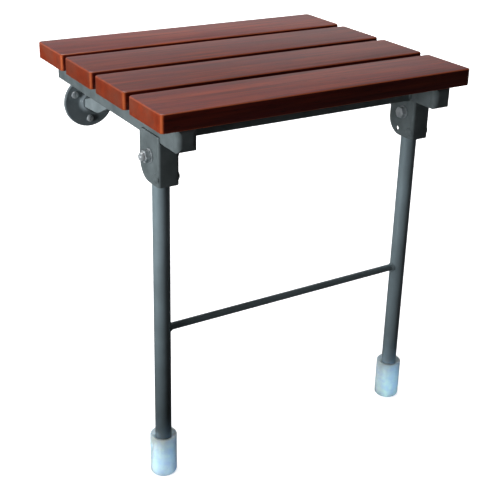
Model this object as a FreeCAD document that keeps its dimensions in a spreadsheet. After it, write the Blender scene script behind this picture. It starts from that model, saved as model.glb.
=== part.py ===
import FreeCAD, Part
import math
import os
from types import SimpleNamespace
import Sketcher
from FreeCAD import Placement, Rotation, Vector

# A wall-mounted seat of four slats that folds up, with two legs that swing down.
# The origin lies on the wall midway between the centres of the two wall flanges.
# +X is to the right, -Y points away from the wall and +Z is up.

SIZES = {
    # height of the seat above the floor, and of the seat above the flange centres
    "seat_top_height": 490,
    "fixing_drop": 104,
    # slats
    "seat_wall_gap": 51,
    "slat_length": 420,
    "slat_width": 79,
    "slat_thickness": 21,
    "slat_gap": 12,
    "slat_corner_radius": 6,
    "slat_arris_radius": 3,
    "slat_under_radius": 1.5,
    # side and cross rails
    "rail_width": 26,
    "rail_height": 28,
    "rail_wall": 1.5,
    "rail_edge_radius": 3,
    "rail_side_inset": 21.5,
    "rail_front_inset": 7,
    "rail_rear_inset": 10,
    "front_cap_depth": 10,
    "front_cap_radius": 7,
    "rear_plug_thickness": 3,
    "rear_plug_insert": 10,
    "rear_plug_radius": 1.2,
    "front_rail_setback": 52,
    "rear_rail_inset": 50,
    # screws that hold the slats
    "slat_screw_diameter": 5,
    "slat_screw_head_diameter": 9,
    "slat_screw_head_height": 2.5,
    "slat_screw_bite": 15,
    "slat_screw_offset": 14,
    # leg brackets
    "bracket_plate": 2.5,
    "bracket_setback": 45.5,
    "bracket_depth": 46.5,
    "bracket_drop": 50.5,
    "bracket_lap": 8,
    "bracket_corner_radius": 22,
    "bracket_lap_radius": 5,
    "bracket_bend_radius": 3.5,
    "spare_hole_diameter": 5.5,
    "spare_hole_setback": 9.5,
    "spare_hole_drop": 24,
    # legs
    "leg_diameter": 20,
    "leg_wall": 1.5,
    "leg_side_gap": 0.5,
    "leg_pivot_drop": 18,
    "leg_top_rise": 11,
    "leg_plug_flange": 1.5,
    "leg_plug_insert": 4,
    "pivot_sleeve_diameter": 12,
    "cross_bar_diameter": 9,
    "cross_bar_height": 203,
    # feet
    "foot_diameter": 33,
    "foot_height": 55,
    "foot_floor": 6,
    "foot_recess_diameter": 27,
    "foot_recess_depth": 7,
    "foot_edge_radius": 4,
    "foot_rim_radius": 1.2,
    # stop rivets
    "stop_rivet_diameter": 6.4,
    "stop_rivet_drop": 23,
    "stop_rivet_head_diameter": 12,
    "stop_web_gap": 1.2,
    "stop_gap": 0.4,
    # bolts and nuts of the leg pivots and the hinges
    "bolt_diameter": 8,
    "bolt_head_height": 5.3,
    "bolt_across_flats": 13,
    "bolt_thread_end": 1.5,
    "nut_height": 6.5,
    "nut_dome_radius": 5.6,
    "nut_bore_depth": 9,
    "washer_diameter": 16,
    "washer_thickness": 1.6,
    # wall flanges and their screws
    "flange_spacing": 248,
    "flange_diameter": 72,
    "flange_thickness": 5,
    "flange_rim_radius": 1.5,
    "boss_diameter": 24,
    "boss_thickness": 5,
    "wall_screw_circle": 49,
    "wall_screw_diameter": 5,
    "wall_screw_thread_diameter": 4.6,
    "wall_screw_reach": 22,
    "wall_screw_head_diameter": 10,
    "wall_screw_head_height": 3.2,
    "wall_screw_head_radius": 1.8,
    "wall_screw_slot_width": 1.4,
    "wall_screw_slot_depth": 1.8,
    # hinge arms and lugs
    "hinge_from_wall": 78,
    "hinge_rise": 54,
    "arm_offset": 4,
    "arm_thickness": 10,
    "arm_root_height": 12,
    "arm_eye_radius": 13,
    "arm_belly_radius": 45,
    "arm_toe_radius": 9,
    "arm_neck_radius": 18,
    "lug_thickness": 4,
    "lug_radius": 13,
    "hinge_washer_thickness": 1.5,
    "hinge_side_gap": 0.3,
    # clearances
    "running_clearance": 0.05,
    "fit_clearance": 0.1,
    "overrun": 5,
}

# the arm's outline, as shares of its reach from the boss, its rise, its root and its eye
ARM_BELLY_SHARES = (0.63, 0.30)
ARM_TOE_SHARES = (1.5, 0.33)
ARM_NECK_SHARES = (0.54, 0.33)

SLAT_NAMES = ("rear_slat", "mid_rear_slat", "mid_front_slat", "front_slat")
SIDES = {"left": -1, "right": 1}
WALL_SCREW_ANGLES = (30, 150, 270)
DOME_ANGLE = 40
TOLERANCE = 0.001

ALONG_X = Rotation(Vector(0, 1, 0), 90)
AGAINST_X = Rotation(Vector(0, 1, 0), -90)
ACROSS = Rotation(Vector(0, 0, 1), 90)
OUT_OF_WALL = Rotation(Vector(1, 0, 0), 90)
UNTURNED = Rotation()

doc = FreeCAD.newDocument("FoldingSeat")
sheet = doc.addObject("Spreadsheet::Sheet", "Sizes")
for row, (alias, number) in enumerate(SIZES.items(), start=1):
    sheet.set(f"A{row}", alias)
    sheet.set(f"B{row}", str(number))
    sheet.setAlias(f"B{row}", alias)
doc.recompute()


class Length:
    """A length with its value in millimetres and the formula that gives it from the sheet."""

    def __init__(self, value, text):
        self.value = value
        self.text = text

    def joined(self, other, sign, value):
        text = other.text if isinstance(other, Length) else str(other)
        return Length(value, f"({self.text} {sign} {text})")

    def __add__(self, other):
        return self.joined(other, "+", self.value + plain(other))

    def __sub__(self, other):
        return self.joined(other, "-", self.value - plain(other))

    def __mul__(self, number):
        return self.joined(number, "*", self.value * number)

    def __truediv__(self, number):
        return self.joined(number, "/", self.value / number)

    def __neg__(self):
        return self * -1


def plain(length):
    return length.value if isinstance(length, Length) else length


ZERO = Length(0, "0")
size = SimpleNamespace(**{name: Length(number, "Sizes." + name) for name, number in SIZES.items()})

# derived places, in the seat's own frame
seat_top = size.fixing_drop
floor_z = seat_top - size.seat_top_height
slat_bottom = seat_top - size.slat_thickness
rail_bottom = slat_bottom - size.rail_height
seat_rear = -size.seat_wall_gap
slat_pitch = size.slat_width + size.slat_gap
seat_front = seat_rear - slat_pitch * len(SLAT_NAMES) + size.slat_gap
rail_outer_x = size.slat_length / 2 - size.rail_side_inset
rail_x = rail_outer_x - size.rail_width / 2
tube_front = seat_front + size.rail_front_inset + size.front_cap_depth
tube_rear = seat_rear - size.rail_rear_inset - size.rear_plug_thickness
tube_middle = (tube_front + tube_rear) / 2
bracket_half = size.leg_diameter / 2 + size.leg_side_gap
bracket_outer = bracket_half + size.bracket_plate
leg_x = rail_outer_x - bracket_half
bracket_y = seat_front + size.bracket_setback
stop_y = bracket_y + size.bracket_plate + size.stop_web_gap + size.stop_rivet_diameter / 2
leg_y = stop_y + size.stop_rivet_diameter / 2 + size.stop_gap + size.leg_diameter / 2
leg_z = rail_bottom - size.leg_pivot_drop
leg_foot_z = floor_z + size.foot_floor
hinge_x = size.flange_spacing / 2 + size.arm_offset
hinge_y = -size.hinge_from_wall
rear_rail_back = seat_rear - size.rear_rail_inset
rear_rail_y = rear_rail_back - size.rail_width / 2
front_rail_y = seat_front + size.front_rail_setback + size.rail_width / 2
slat_screw_hole = size.slat_screw_diameter + size.fit_clearance * 2
bolt_hole = size.bolt_diameter + size.fit_clearance * 2
running_hole = size.bolt_diameter + size.running_clearance * 2
arm_root_y = -(size.flange_thickness + size.boss_thickness)


def slat_centre(index):
    """Gives a slat's middle, counted from the wall."""
    return seat_rear - size.slat_width / 2 - slat_pitch * index


sub_parts = []


def keep(piece, name):
    """Adds a finished piece to the sub-parts that are written."""
    piece.Label = name
    sub_parts.append(piece)
    return piece


def place(piece, x=ZERO, y=ZERO, z=ZERO, turn=UNTURNED):
    """Turns a piece and binds its place to the sheet."""
    piece.Placement = Placement(Vector(x.value, y.value, z.value), turn)
    for axis, length in (("x", x), ("y", y), ("z", z)):
        piece.setExpression("Placement.Base." + axis, length.text)
    return piece


def solid(kind, name, **lengths):
    """Makes a primitive solid with its sizes bound to the sheet."""
    piece = doc.addObject("Part::" + kind, name)
    for key, length in lengths.items():
        piece.setExpression(key, length.text)
    return piece


def cylinder(name, diameter, height, z=ZERO):
    return place(solid("Cylinder", name, Radius=diameter / 2, Height=height), z=z)


def hexagon(name, across_flats, height, z=ZERO):
    return place(solid("Prism", name, Circumradius=across_flats / math.sqrt(3), Height=height), z=z)


def cut(name, base, tool):
    piece = doc.addObject("Part::Cut", name)
    piece.Base = base
    piece.Tool = tool
    return piece


def fuse(name, pieces):
    piece = doc.addObject("Part::MultiFuse", name)
    piece.Shapes = pieces
    return piece


def group(name, pieces):
    """Holds like pieces as separate solids of one sub-part."""
    piece = doc.addObject("Part::Compound", name)
    piece.Links = pieces
    return keep(piece, name)


def new_body(name):
    return doc.addObject("PartDesign::Body", name)


def sketch_on(body, role, offset=ZERO):
    """Adds a sketch to one of a body's own planes, moved along the plane's normal."""
    plane = next(feature for feature in body.Origin.OriginFeatures if feature.Role == role)
    sketch = body.newObject("Sketcher::SketchObject", body.Name + "_sketch")
    sketch.AttachmentSupport = (plane, [""])
    sketch.MapMode = "FlatFace"
    sketch.setExpression("AttachmentOffset.Base.z", offset.text)
    return sketch


def pin_point(sketch, geometry, point, across, up):
    """Fixes a point of the sketch at two bound distances from its origin."""
    for kind, length in (("DistanceX", across), ("DistanceY", up)):
        constraint = Sketcher.Constraint(kind, -1, 1, geometry, point, length.value)
        index = sketch.addConstraint(constraint)
        sketch.setExpression(f"Constraints[{index}]", length.text)


def draw_outline(sketch, corners):
    """Draws a closed outline through corners given as pairs of lengths."""
    points = [Vector(across.value, up.value, 0) for across, up in corners]
    lines = []
    for start, end in zip(points, points[1:] + points[:1]):
        lines.append(sketch.addGeometry(Part.LineSegment(start, end), False))
    for line, following in zip(lines, lines[1:] + lines[:1]):
        sketch.addConstraint(Sketcher.Constraint("Coincident", line, 2, following, 1))
    for line, (across, up) in zip(lines, corners):
        pin_point(sketch, line, 1, across, up)
    return sketch


def draw_rectangle(sketch, left, right, low, high):
    return draw_outline(sketch, [(left, low), (right, low), (right, high), (left, high)])


def draw_circle(sketch, across, up, diameter):
    centre = Vector(across.value, up.value, 0)
    ring = sketch.addGeometry(Part.Circle(centre, Vector(0, 0, 1), diameter.value / 2), False)
    pin_point(sketch, ring, 3, across, up)
    index = sketch.addConstraint(Sketcher.Constraint("Diameter", ring, diameter.value))
    sketch.setExpression(f"Constraints[{index}]", diameter.text)
    return sketch


def pad(body, sketch, length, symmetric=False):
    feature = body.newObject("PartDesign::Pad", body.Name + "_pad")
    feature.Profile = sketch
    feature.SideType = "Symmetric" if symmetric else "One side"
    feature.setExpression("Length", length.text)
    return feature


def cut_through(body, sketch):
    """Cuts the sketch right through the body, both ways."""
    feature = body.newObject("PartDesign::Pocket", body.Name + "_pocket")
    feature.Profile = sketch
    feature.Type = "ThroughAll"
    feature.SideType = "Symmetric"
    return feature


def cut_along_normal(body, sketch, depth):
    """Cuts the sketch into the body, the way its normal points."""
    feature = body.newObject("PartDesign::Pocket", body.Name + "_pocket")
    feature.Profile = sketch
    feature.Reversed = True
    feature.setExpression("Length", depth.text)
    return feature


def revolve(body, sketch):
    """Turns the sketch about its own upright axis."""
    feature = body.newObject("PartDesign::Revolution", body.Name + "_revolution")
    feature.Profile = sketch
    feature.ReferenceAxis = (sketch, ["V_Axis"])
    return feature


def round_edges(body, radius, wanted):
    """Rounds the edges of the body so far that the given test picks."""
    doc.recompute()
    base = body.Tip
    names = [f"Edge{index}" for index, edge in enumerate(base.Shape.Edges, start=1) if wanted(edge)]
    feature = body.newObject("PartDesign::Fillet", body.Name + "_fillet")
    feature.Base = (base, names)
    feature.setExpression("Radius", radius.text)
    return feature


def same(first, second):
    return math.isclose(first, second, abs_tol=TOLERANCE)


def upright(edge):
    box = edge.BoundBox
    return same(box.XLength, 0) and same(box.YLength, 0)


def sideways(edge):
    box = edge.BoundBox
    return same(box.YLength, 0) and same(box.ZLength, 0)


def lengthways(edge):
    box = edge.BoundBox
    return same(box.XLength, 0) and same(box.ZLength, 0)


def at_height(edge, height):
    return same(edge.BoundBox.ZMin, height.value) and same(edge.BoundBox.ZMax, height.value)


def at_depth(edge, depth):
    return same(edge.BoundBox.YMin, depth.value) and same(edge.BoundBox.YMax, depth.value)


def make_slat(index, name):
    """A plank with rounded plan corners, rounded arrises and pilot holes from below."""
    body = new_body(name)
    half_length = size.slat_length / 2
    half_width = size.slat_width / 2
    plan = sketch_on(body, "XY_Plane")
    draw_rectangle(plan, -half_length, half_length, -half_width, half_width)
    pad(body, plan, size.slat_thickness)
    round_edges(body, size.slat_corner_radius, upright)
    round_edges(body, size.slat_arris_radius, lambda edge: at_height(edge, size.slat_thickness))
    round_edges(body, size.slat_under_radius, lambda edge: at_height(edge, ZERO))
    holes = sketch_on(body, "XY_Plane")
    for side in SIDES.values():
        draw_circle(holes, rail_x * side, -size.slat_screw_offset, slat_screw_hole)
    cut_along_normal(body, holes, size.slat_screw_bite + size.fit_clearance)
    place(body, y=slat_centre(index), z=slat_bottom)
    return keep(body, name)


def draw_rail_section(sketch, inset=ZERO):
    """Draws a rail's section, drawn in by the inset, standing on its lower face."""
    half = size.rail_width / 2 - inset
    return draw_rectangle(sketch, -half, half, inset, size.rail_height - inset)


def make_tube(name, length):
    """A rectangular tube with rounded edges that lies along Y, middle at the origin."""
    body = new_body(name)
    pad(body, draw_rail_section(sketch_on(body, "XZ_Plane")), length, symmetric=True)
    round_edges(body, size.rail_edge_radius, lengthways)
    cut_through(body, draw_rail_section(sketch_on(body, "XZ_Plane"), size.rail_wall))
    return body


def make_side_rail(word, side):
    name = word + "_side_rail"
    body = make_tube(name, tube_rear - tube_front)
    holes = sketch_on(body, "XY_Plane")
    for index in range(len(SLAT_NAMES)):
        screw_y = slat_centre(index) - size.slat_screw_offset - tube_middle
        draw_circle(holes, ZERO, screw_y, slat_screw_hole)
    cut_through(body, holes)
    place(body, rail_x * side, tube_middle, rail_bottom)
    return keep(body, name)


def make_cross_rail(name, y):
    """A tube between the inner faces of the side rails."""
    body = make_tube(name, (rail_x - size.rail_width / 2) * 2)
    place(body, y=y, z=rail_bottom, turn=ACROSS)
    return keep(body, name)


def make_front_cap(word, side):
    """The closed front end of a side rail, its front face rounded all round."""
    name = word + "_rail_front_cap"
    block = new_body(name + "_block")
    pad(block, draw_rail_section(sketch_on(block, "XZ_Plane")), size.front_cap_depth)
    round_edges(block, size.front_cap_radius, lambda edge: at_depth(edge, -size.front_cap_depth))
    section = new_body(name + "_section")
    pad(section, draw_rail_section(sketch_on(section, "XZ_Plane")), size.front_cap_depth)
    round_edges(section, size.rail_edge_radius, lengthways)
    piece = doc.addObject("Part::Common", name)
    piece.Base = block
    piece.Tool = section
    place(piece, rail_x * side, tube_front, rail_bottom)
    return keep(piece, name)


def make_rear_plug(word, side):
    """A plug with a thin flange and an insert that reaches into the tube."""
    name = word + "_rail_rear_plug"
    body = new_body(name)
    flange = draw_rail_section(sketch_on(body, "XZ_Plane", -size.rear_plug_thickness))
    pad(body, flange, size.rear_plug_thickness)
    round_edges(body, size.rail_edge_radius, lengthways)
    round_edges(body, size.rear_plug_radius, lambda edge: at_depth(edge, size.rear_plug_thickness))
    insert = draw_rail_section(sketch_on(body, "XZ_Plane"), size.rail_wall + size.fit_clearance)
    pad(body, insert, size.rear_plug_insert)
    place(body, rail_x * side, tube_rear, rail_bottom)
    return keep(body, name)


def make_slat_screw(name):
    """A flat-headed screw that points up from the plane of its head's seat."""
    shank_length = size.rail_height + size.slat_screw_bite
    shank = cylinder(name + "_shank", size.slat_screw_diameter, shank_length)
    head = cylinder(name + "_head", size.slat_screw_head_diameter, size.slat_screw_head_height,
                    -size.slat_screw_head_height)
    return fuse(name, [shank, head])


def make_slat_screws():
    screws = []
    for word, side in SIDES.items():
        for index, slat in enumerate(SLAT_NAMES):
            screw = make_slat_screw(f"{word}_{slat}_screw")
            screw_y = slat_centre(index) - size.slat_screw_offset
            screws.append(place(screw, rail_x * side, screw_y, rail_bottom))
    return group("slat_screws", screws)


def make_leg_bracket(word, side):
    """A plate bent to a U, open to the rear; the outer cheek laps up the side rail, the inner has a spare hole."""
    name = word + "_leg_bracket"
    body = new_body(name)
    plan = sketch_on(body, "XY_Plane", -size.bracket_drop)
    draw_outline(plan, [
        (-bracket_outer, ZERO),
        (bracket_outer, ZERO),
        (bracket_outer, size.bracket_depth),
        (bracket_half, size.bracket_depth),
        (bracket_half, size.bracket_plate),
        (-bracket_half, size.bracket_plate),
        (-bracket_half, size.bracket_depth),
        (-bracket_outer, size.bracket_depth),
    ])
    pad(body, plan, size.bracket_drop + size.bracket_lap)
    above_rail = sketch_on(body, "XY_Plane")
    inner = -(bracket_outer + size.overrun) * side
    draw_rectangle(above_rail, bracket_half * side, inner, -size.overrun, size.bracket_depth + size.overrun)
    cut_along_normal(body, above_rail, size.bracket_lap + size.overrun)
    round_edges(body, size.bracket_bend_radius,
                lambda edge: upright(edge) and at_depth(edge, ZERO)
                and same(abs(edge.BoundBox.XMin), bracket_outer.value))
    round_edges(body, size.bracket_corner_radius,
                lambda edge: sideways(edge) and at_depth(edge, size.bracket_depth)
                and at_height(edge, -size.bracket_drop))
    round_edges(body, size.bracket_lap_radius,
                lambda edge: sideways(edge) and at_depth(edge, size.bracket_depth)
                and at_height(edge, size.bracket_lap))
    holes = sketch_on(body, "YZ_Plane")
    draw_circle(holes, leg_y - bracket_y, -size.leg_pivot_drop, bolt_hole)
    rivet_hole = size.stop_rivet_diameter + size.fit_clearance * 2
    draw_circle(holes, stop_y - bracket_y, -size.leg_pivot_drop - size.stop_rivet_drop, rivet_hole)
    cut_through(body, holes)
    reach = bracket_outer + size.overrun
    spare = sketch_on(body, "YZ_Plane", -reach if side > 0 else ZERO)
    spare_drop = size.leg_pivot_drop + size.spare_hole_drop
    draw_circle(spare, leg_y - bracket_y + size.spare_hole_setback, -spare_drop, size.spare_hole_diameter)
    cut_along_normal(body, spare, reach)
    place(body, leg_x * side, bracket_y, rail_bottom)
    return keep(body, name)


def make_rivet_head(name, diameter):
    """A dome that stands up from the plane of its seat."""
    radius = diameter / 2 / math.cos(math.radians(DOME_ANGLE))
    head = solid("Sphere", name, Radius=radius)
    head.Angle1 = DOME_ANGLE
    return head, radius * math.sin(math.radians(DOME_ANGLE))


def make_stop_rivet(name):
    """A rivet along X, with a domed head on each cheek of the bracket."""
    shank = cylinder(name + "_shank", size.stop_rivet_diameter, bracket_outer * 2)
    place(shank, x=-bracket_outer, turn=ALONG_X)
    right_head, seat = make_rivet_head(name + "_right_head", size.stop_rivet_head_diameter)
    place(right_head, x=bracket_outer - seat, turn=ALONG_X)
    left_head, seat = make_rivet_head(name + "_left_head", size.stop_rivet_head_diameter)
    place(left_head, x=seat - bracket_outer, turn=AGAINST_X)
    return fuse(name, [shank, right_head, left_head])


def make_stop_rivets():
    rivets = []
    for word, side in SIDES.items():
        rivet = make_stop_rivet(word + "_stop_rivet")
        rivets.append(place(rivet, leg_x * side, stop_y, leg_z - size.stop_rivet_drop))
    return group("stop_rivets", rivets)


def make_bolt(name, grip):
    """A hexagon-headed bolt that points up from the plane of its head's seat."""
    shank = cylinder(name + "_shank", size.bolt_diameter, grip)
    head = hexagon(name + "_head", size.bolt_across_flats, size.bolt_head_height, -size.bolt_head_height)
    return fuse(name, [shank, head])


def make_washer(name, bore, thickness):
    """A flat ring that stands up from the plane of its seat."""
    ring = cylinder(name + "_ring", size.washer_diameter, thickness)
    hole = cylinder(name + "_hole", bore, thickness + size.overrun * 2, -size.overrun)
    return cut(name, ring, hole)


def make_dome_nut(name):
    """A hexagon nut closed by a dome, with a blind bore from its seat."""
    prism = hexagon(name + "_prism", size.bolt_across_flats, size.nut_height)
    dome = place(solid("Sphere", name + "_dome", Radius=size.nut_dome_radius), z=size.nut_height)
    bore = cylinder(name + "_bore", bolt_hole, size.nut_bore_depth + size.overrun, -size.overrun)
    return cut(name, fuse(name + "_outside", [prism, dome]), bore)


def make_hexagon_nut(name):
    prism = hexagon(name + "_prism", size.bolt_across_flats, size.nut_height)
    bore = cylinder(name + "_bore", bolt_hole, size.nut_height + size.overrun * 2, -size.overrun)
    return cut(name, prism, bore)


def make_leg_pivots():
    """Bolts with their heads towards the middle, dome nuts on the outside and a washer under each."""
    bolts = []
    nuts = []
    washers = []
    seat_offset = bracket_outer + size.washer_thickness
    grip = seat_offset * 2 + size.nut_bore_depth - size.fit_clearance
    for word, side in SIDES.items():
        outwards, inwards = (ALONG_X, AGAINST_X) if side > 0 else (AGAINST_X, ALONG_X)
        bolt = make_bolt(word + "_pivot_bolt", grip)
        bolts.append(place(bolt, (leg_x - seat_offset) * side, leg_y, leg_z, outwards))
        nut = make_dome_nut(word + "_dome_nut")
        nuts.append(place(nut, (leg_x + seat_offset) * side, leg_y, leg_z, outwards))
        outer = make_washer(word + "_outer_washer", bolt_hole, size.washer_thickness)
        washers.append(place(outer, (leg_x + bracket_outer) * side, leg_y, leg_z, outwards))
        inner = make_washer(word + "_inner_washer", bolt_hole, size.washer_thickness)
        washers.append(place(inner, (leg_x - bracket_outer) * side, leg_y, leg_z, inwards))
    group("leg_pivot_bolts", bolts)
    group("leg_dome_nuts", nuts)
    group("leg_pivot_washers", washers)


def make_leg_tube(word, side):
    """A round tube with its pivot at the origin and a cross hole for the pivot sleeve."""
    name = word + "_leg_tube"
    body = new_body(name)
    low = leg_foot_z - leg_z
    pad(body, draw_circle(sketch_on(body, "XY_Plane", low), ZERO, ZERO, size.leg_diameter),
        size.leg_top_rise - low)
    bore = size.leg_diameter - size.leg_wall * 2
    cut_through(body, draw_circle(sketch_on(body, "XY_Plane"), ZERO, ZERO, bore))
    sleeve_hole = size.pivot_sleeve_diameter + size.fit_clearance * 2
    cut_through(body, draw_circle(sketch_on(body, "YZ_Plane"), ZERO, ZERO, sleeve_hole))
    place(body, leg_x * side, leg_y, leg_z)
    return keep(body, name)


def make_pivot_sleeves():
    """Sleeves across the legs that turn on the pivot bolts."""
    sleeves = []
    for word, side in SIDES.items():
        name = word + "_pivot_sleeve"
        outside = cylinder(name + "_outside", size.pivot_sleeve_diameter, size.leg_diameter)
        bore = cylinder(name + "_bore", running_hole, size.leg_diameter + size.overrun * 2, -size.overrun)
        start = leg_x * side - size.leg_diameter / 2
        sleeves.append(place(cut(name, outside, bore), start, leg_y, leg_z, ALONG_X))
    return group("leg_pivot_sleeves", sleeves)


def make_leg_plugs():
    """Plugs that close the tops of the legs."""
    plugs = []
    insert_diameter = size.leg_diameter - size.leg_wall * 2 - size.fit_clearance * 2
    for word, side in SIDES.items():
        name = word + "_leg_plug"
        flange = cylinder(name + "_flange", size.leg_diameter, size.leg_plug_flange)
        insert = cylinder(name + "_insert", insert_diameter, size.leg_plug_insert, -size.leg_plug_insert)
        plugs.append(place(fuse(name, [flange, insert]), leg_x * side, leg_y, leg_z + size.leg_top_rise))
    return group("leg_top_plugs", plugs)


def make_cross_bar():
    """A round bar between the legs, its ends coped to the tubes."""
    name = "leg_cross_bar"
    rod = cylinder(name + "_rod", size.cross_bar_diameter, leg_x * 2)
    place(rod, x=-leg_x, turn=ALONG_X)
    cope_diameter = size.leg_diameter + size.fit_clearance * 2
    copes = []
    for word, side in SIDES.items():
        cope = cylinder(f"{name}_{word}_cope", cope_diameter, cope_diameter * 2)
        copes.append(place(cope, x=leg_x * side, z=-cope_diameter))
    piece = cut(name, rod, fuse(name + "_copes", copes))
    place(piece, y=leg_y, z=floor_z + size.cross_bar_height)
    return keep(piece, name)


def make_foot(word, side):
    """A sleeve with a closed bottom and a recess round the leg at its top."""
    name = word + "_foot"
    body = new_body(name)
    outer = size.foot_diameter / 2
    recess = size.foot_recess_diameter / 2
    bore = size.leg_diameter / 2 + size.fit_clearance
    shoulder = size.foot_height - size.foot_recess_depth
    half_section = sketch_on(body, "XZ_Plane")
    draw_outline(half_section, [
        (ZERO, ZERO),
        (outer, ZERO),
        (outer, size.foot_height),
        (recess, size.foot_height),
        (recess, shoulder),
        (bore, shoulder),
        (bore, size.foot_floor),
        (ZERO, size.foot_floor),
    ])
    revolve(body, half_section)
    round_edges(body, size.foot_edge_radius, lambda edge: at_height(edge, ZERO))
    round_edges(body, size.foot_rim_radius,
                lambda edge: at_height(edge, size.foot_height)
                and same(edge.BoundBox.XLength, size.foot_diameter.value))
    place(body, leg_x * side, leg_y, floor_z)
    return keep(body, name)


def screw_place(angle):
    """Gives a wall screw's place on its flange."""
    radius = size.wall_screw_circle / 2
    return radius * math.cos(math.radians(angle)), radius * math.sin(math.radians(angle))


def make_wall_flange(word, side):
    """A disc that lies on the wall, with a raised boss and three screw holes."""
    name = word + "_wall_flange"
    body = new_body(name)
    disc = draw_circle(sketch_on(body, "XZ_Plane"), ZERO, ZERO, size.flange_diameter)
    pad(body, disc, size.flange_thickness)
    round_edges(body, size.flange_rim_radius, lambda edge: at_depth(edge, -size.flange_thickness))
    boss = sketch_on(body, "XZ_Plane", size.flange_thickness)
    pad(body, draw_circle(boss, ZERO, ZERO, size.boss_diameter), size.boss_thickness)
    holes = sketch_on(body, "XZ_Plane")
    for angle in WALL_SCREW_ANGLES:
        across, up = screw_place(angle)
        draw_circle(holes, across, up, size.wall_screw_diameter + size.fit_clearance * 2)
    cut_through(body, holes)
    place(body, x=size.flange_spacing * (side / 2))
    return keep(body, name)


def make_wall_screw(name):
    """A slotted pan-head screw, its head standing up from the plane of its seat."""
    body = new_body(name)
    head = draw_circle(sketch_on(body, "XY_Plane"), ZERO, ZERO, size.wall_screw_head_diameter)
    head_top = size.wall_screw_head_height
    pad(body, head, head_top)
    round_edges(body, size.wall_screw_head_radius, lambda edge: at_height(edge, head_top))
    half_slot = size.wall_screw_slot_width / 2
    half_head = size.wall_screw_head_diameter / 2 + size.overrun
    slot = sketch_on(body, "XY_Plane", head_top - size.wall_screw_slot_depth)
    draw_rectangle(slot, -half_slot, half_slot, -half_head, half_head)
    cut_along_normal(body, slot, size.wall_screw_slot_depth + size.overrun)
    neck_end = -size.flange_thickness
    neck = sketch_on(body, "XY_Plane", neck_end)
    pad(body, draw_circle(neck, ZERO, ZERO, size.wall_screw_diameter), size.flange_thickness)
    thread = sketch_on(body, "XY_Plane", neck_end - size.wall_screw_reach)
    pad(body, draw_circle(thread, ZERO, ZERO, size.wall_screw_thread_diameter), size.wall_screw_reach)
    return body


def make_wall_screws(word, side):
    screws = []
    for angle in WALL_SCREW_ANGLES:
        across, up = screw_place(angle)
        screw = make_wall_screw(f"{word}_wall_screw_{angle}")
        x = size.flange_spacing * (side / 2) + across
        screws.append(place(screw, x, -size.flange_thickness, up, OUT_OF_WALL))
    return group(word + "_wall_screws", screws)


def make_hinge_arm(word, side):
    """A swan-neck arm from the boss up to the eye that carries the hinge bolt."""
    name = word + "_hinge_arm"
    body = new_body(name)
    reach = size.hinge_from_wall + arm_root_y
    belly_reach, belly_drop = ARM_BELLY_SHARES
    toe_reach, toe_rise = ARM_TOE_SHARES
    neck_reach, neck_rise = ARM_NECK_SHARES
    belly = (arm_root_y - reach * belly_reach, -size.arm_root_height * belly_drop)
    toe = (hinge_y - size.arm_eye_radius * toe_reach, size.hinge_rise * toe_rise)
    neck = (arm_root_y - reach * neck_reach, size.hinge_rise * neck_rise)
    profile = sketch_on(body, "YZ_Plane")
    draw_outline(profile, [
        (arm_root_y, -size.arm_root_height / 2),
        belly,
        toe,
        (hinge_y - size.arm_eye_radius, size.hinge_rise),
        (hinge_y + size.arm_eye_radius, size.hinge_rise),
        neck,
        (arm_root_y, size.arm_root_height / 2),
    ])
    pad(body, profile, size.arm_thickness, symmetric=True)
    corner_radii = (size.arm_belly_radius, size.arm_toe_radius, size.arm_neck_radius)
    for (depth, _), radius in zip((belly, toe, neck), corner_radii):
        round_edges(body, radius, lambda edge: sideways(edge) and at_depth(edge, depth))
    eye = draw_circle(sketch_on(body, "YZ_Plane"), hinge_y, size.hinge_rise, size.arm_eye_radius * 2)
    pad(body, eye, size.arm_thickness, symmetric=True)
    cut_through(body, draw_circle(sketch_on(body, "YZ_Plane"), hinge_y, size.hinge_rise, running_hole))
    place(body, x=hinge_x * side)
    return keep(body, name)


def make_lug(name):
    """A plate from the back of the rear rail to an eye round the hinge bolt, along X."""
    reach = hinge_y - rear_rail_back
    height = size.lug_radius * 2
    plate = solid("Box", name + "_plate", Length=size.lug_thickness, Width=reach, Height=height)
    place(plate, y=-reach, z=-size.lug_radius)
    eye = cylinder(name + "_eye", size.lug_radius * 2, size.lug_thickness)
    place(eye, turn=ALONG_X)
    hole = cylinder(name + "_hole", bolt_hole, size.lug_thickness + size.overrun * 2)
    place(hole, x=-size.overrun, turn=ALONG_X)
    return cut(name, fuse(name + "_outside", [plate, eye]), hole)


def make_hinge(word, side):
    """A pair of lugs, one each side of the arm, with the washers that keep them off it."""
    centre = hinge_x * side
    washer_seat = size.arm_thickness / 2 + size.hinge_side_gap
    lug_seat = washer_seat + size.hinge_washer_thickness
    lugs = []
    washers = []
    for facing, way, turn in (("left", -1, AGAINST_X), ("right", 1, ALONG_X)):
        lug = make_lug(f"{word}_{facing}_lug")
        lug_start = centre + lug_seat if way > 0 else centre - lug_seat - size.lug_thickness
        lugs.append(place(lug, lug_start, hinge_y, size.hinge_rise))
        washer = make_washer(f"{word}_{facing}_hinge_washer", bolt_hole, size.hinge_washer_thickness)
        washers.append(place(washer, centre + washer_seat * way, hinge_y, size.hinge_rise, turn))
    group(word + "_hinge_lugs", lugs)
    outer_seat = lug_seat + size.lug_thickness
    grip = outer_seat * 2 + size.nut_height + size.bolt_thread_end
    inwards, outwards = (AGAINST_X, ALONG_X) if side > 0 else (ALONG_X, AGAINST_X)
    bolt = make_bolt(word + "_hinge_bolt", grip)
    place(bolt, centre + outer_seat * side, hinge_y, size.hinge_rise, inwards)
    nut = make_hexagon_nut(word + "_hinge_nut")
    place(nut, centre - outer_seat * side, hinge_y, size.hinge_rise, inwards)
    return bolt, nut, washers


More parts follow.
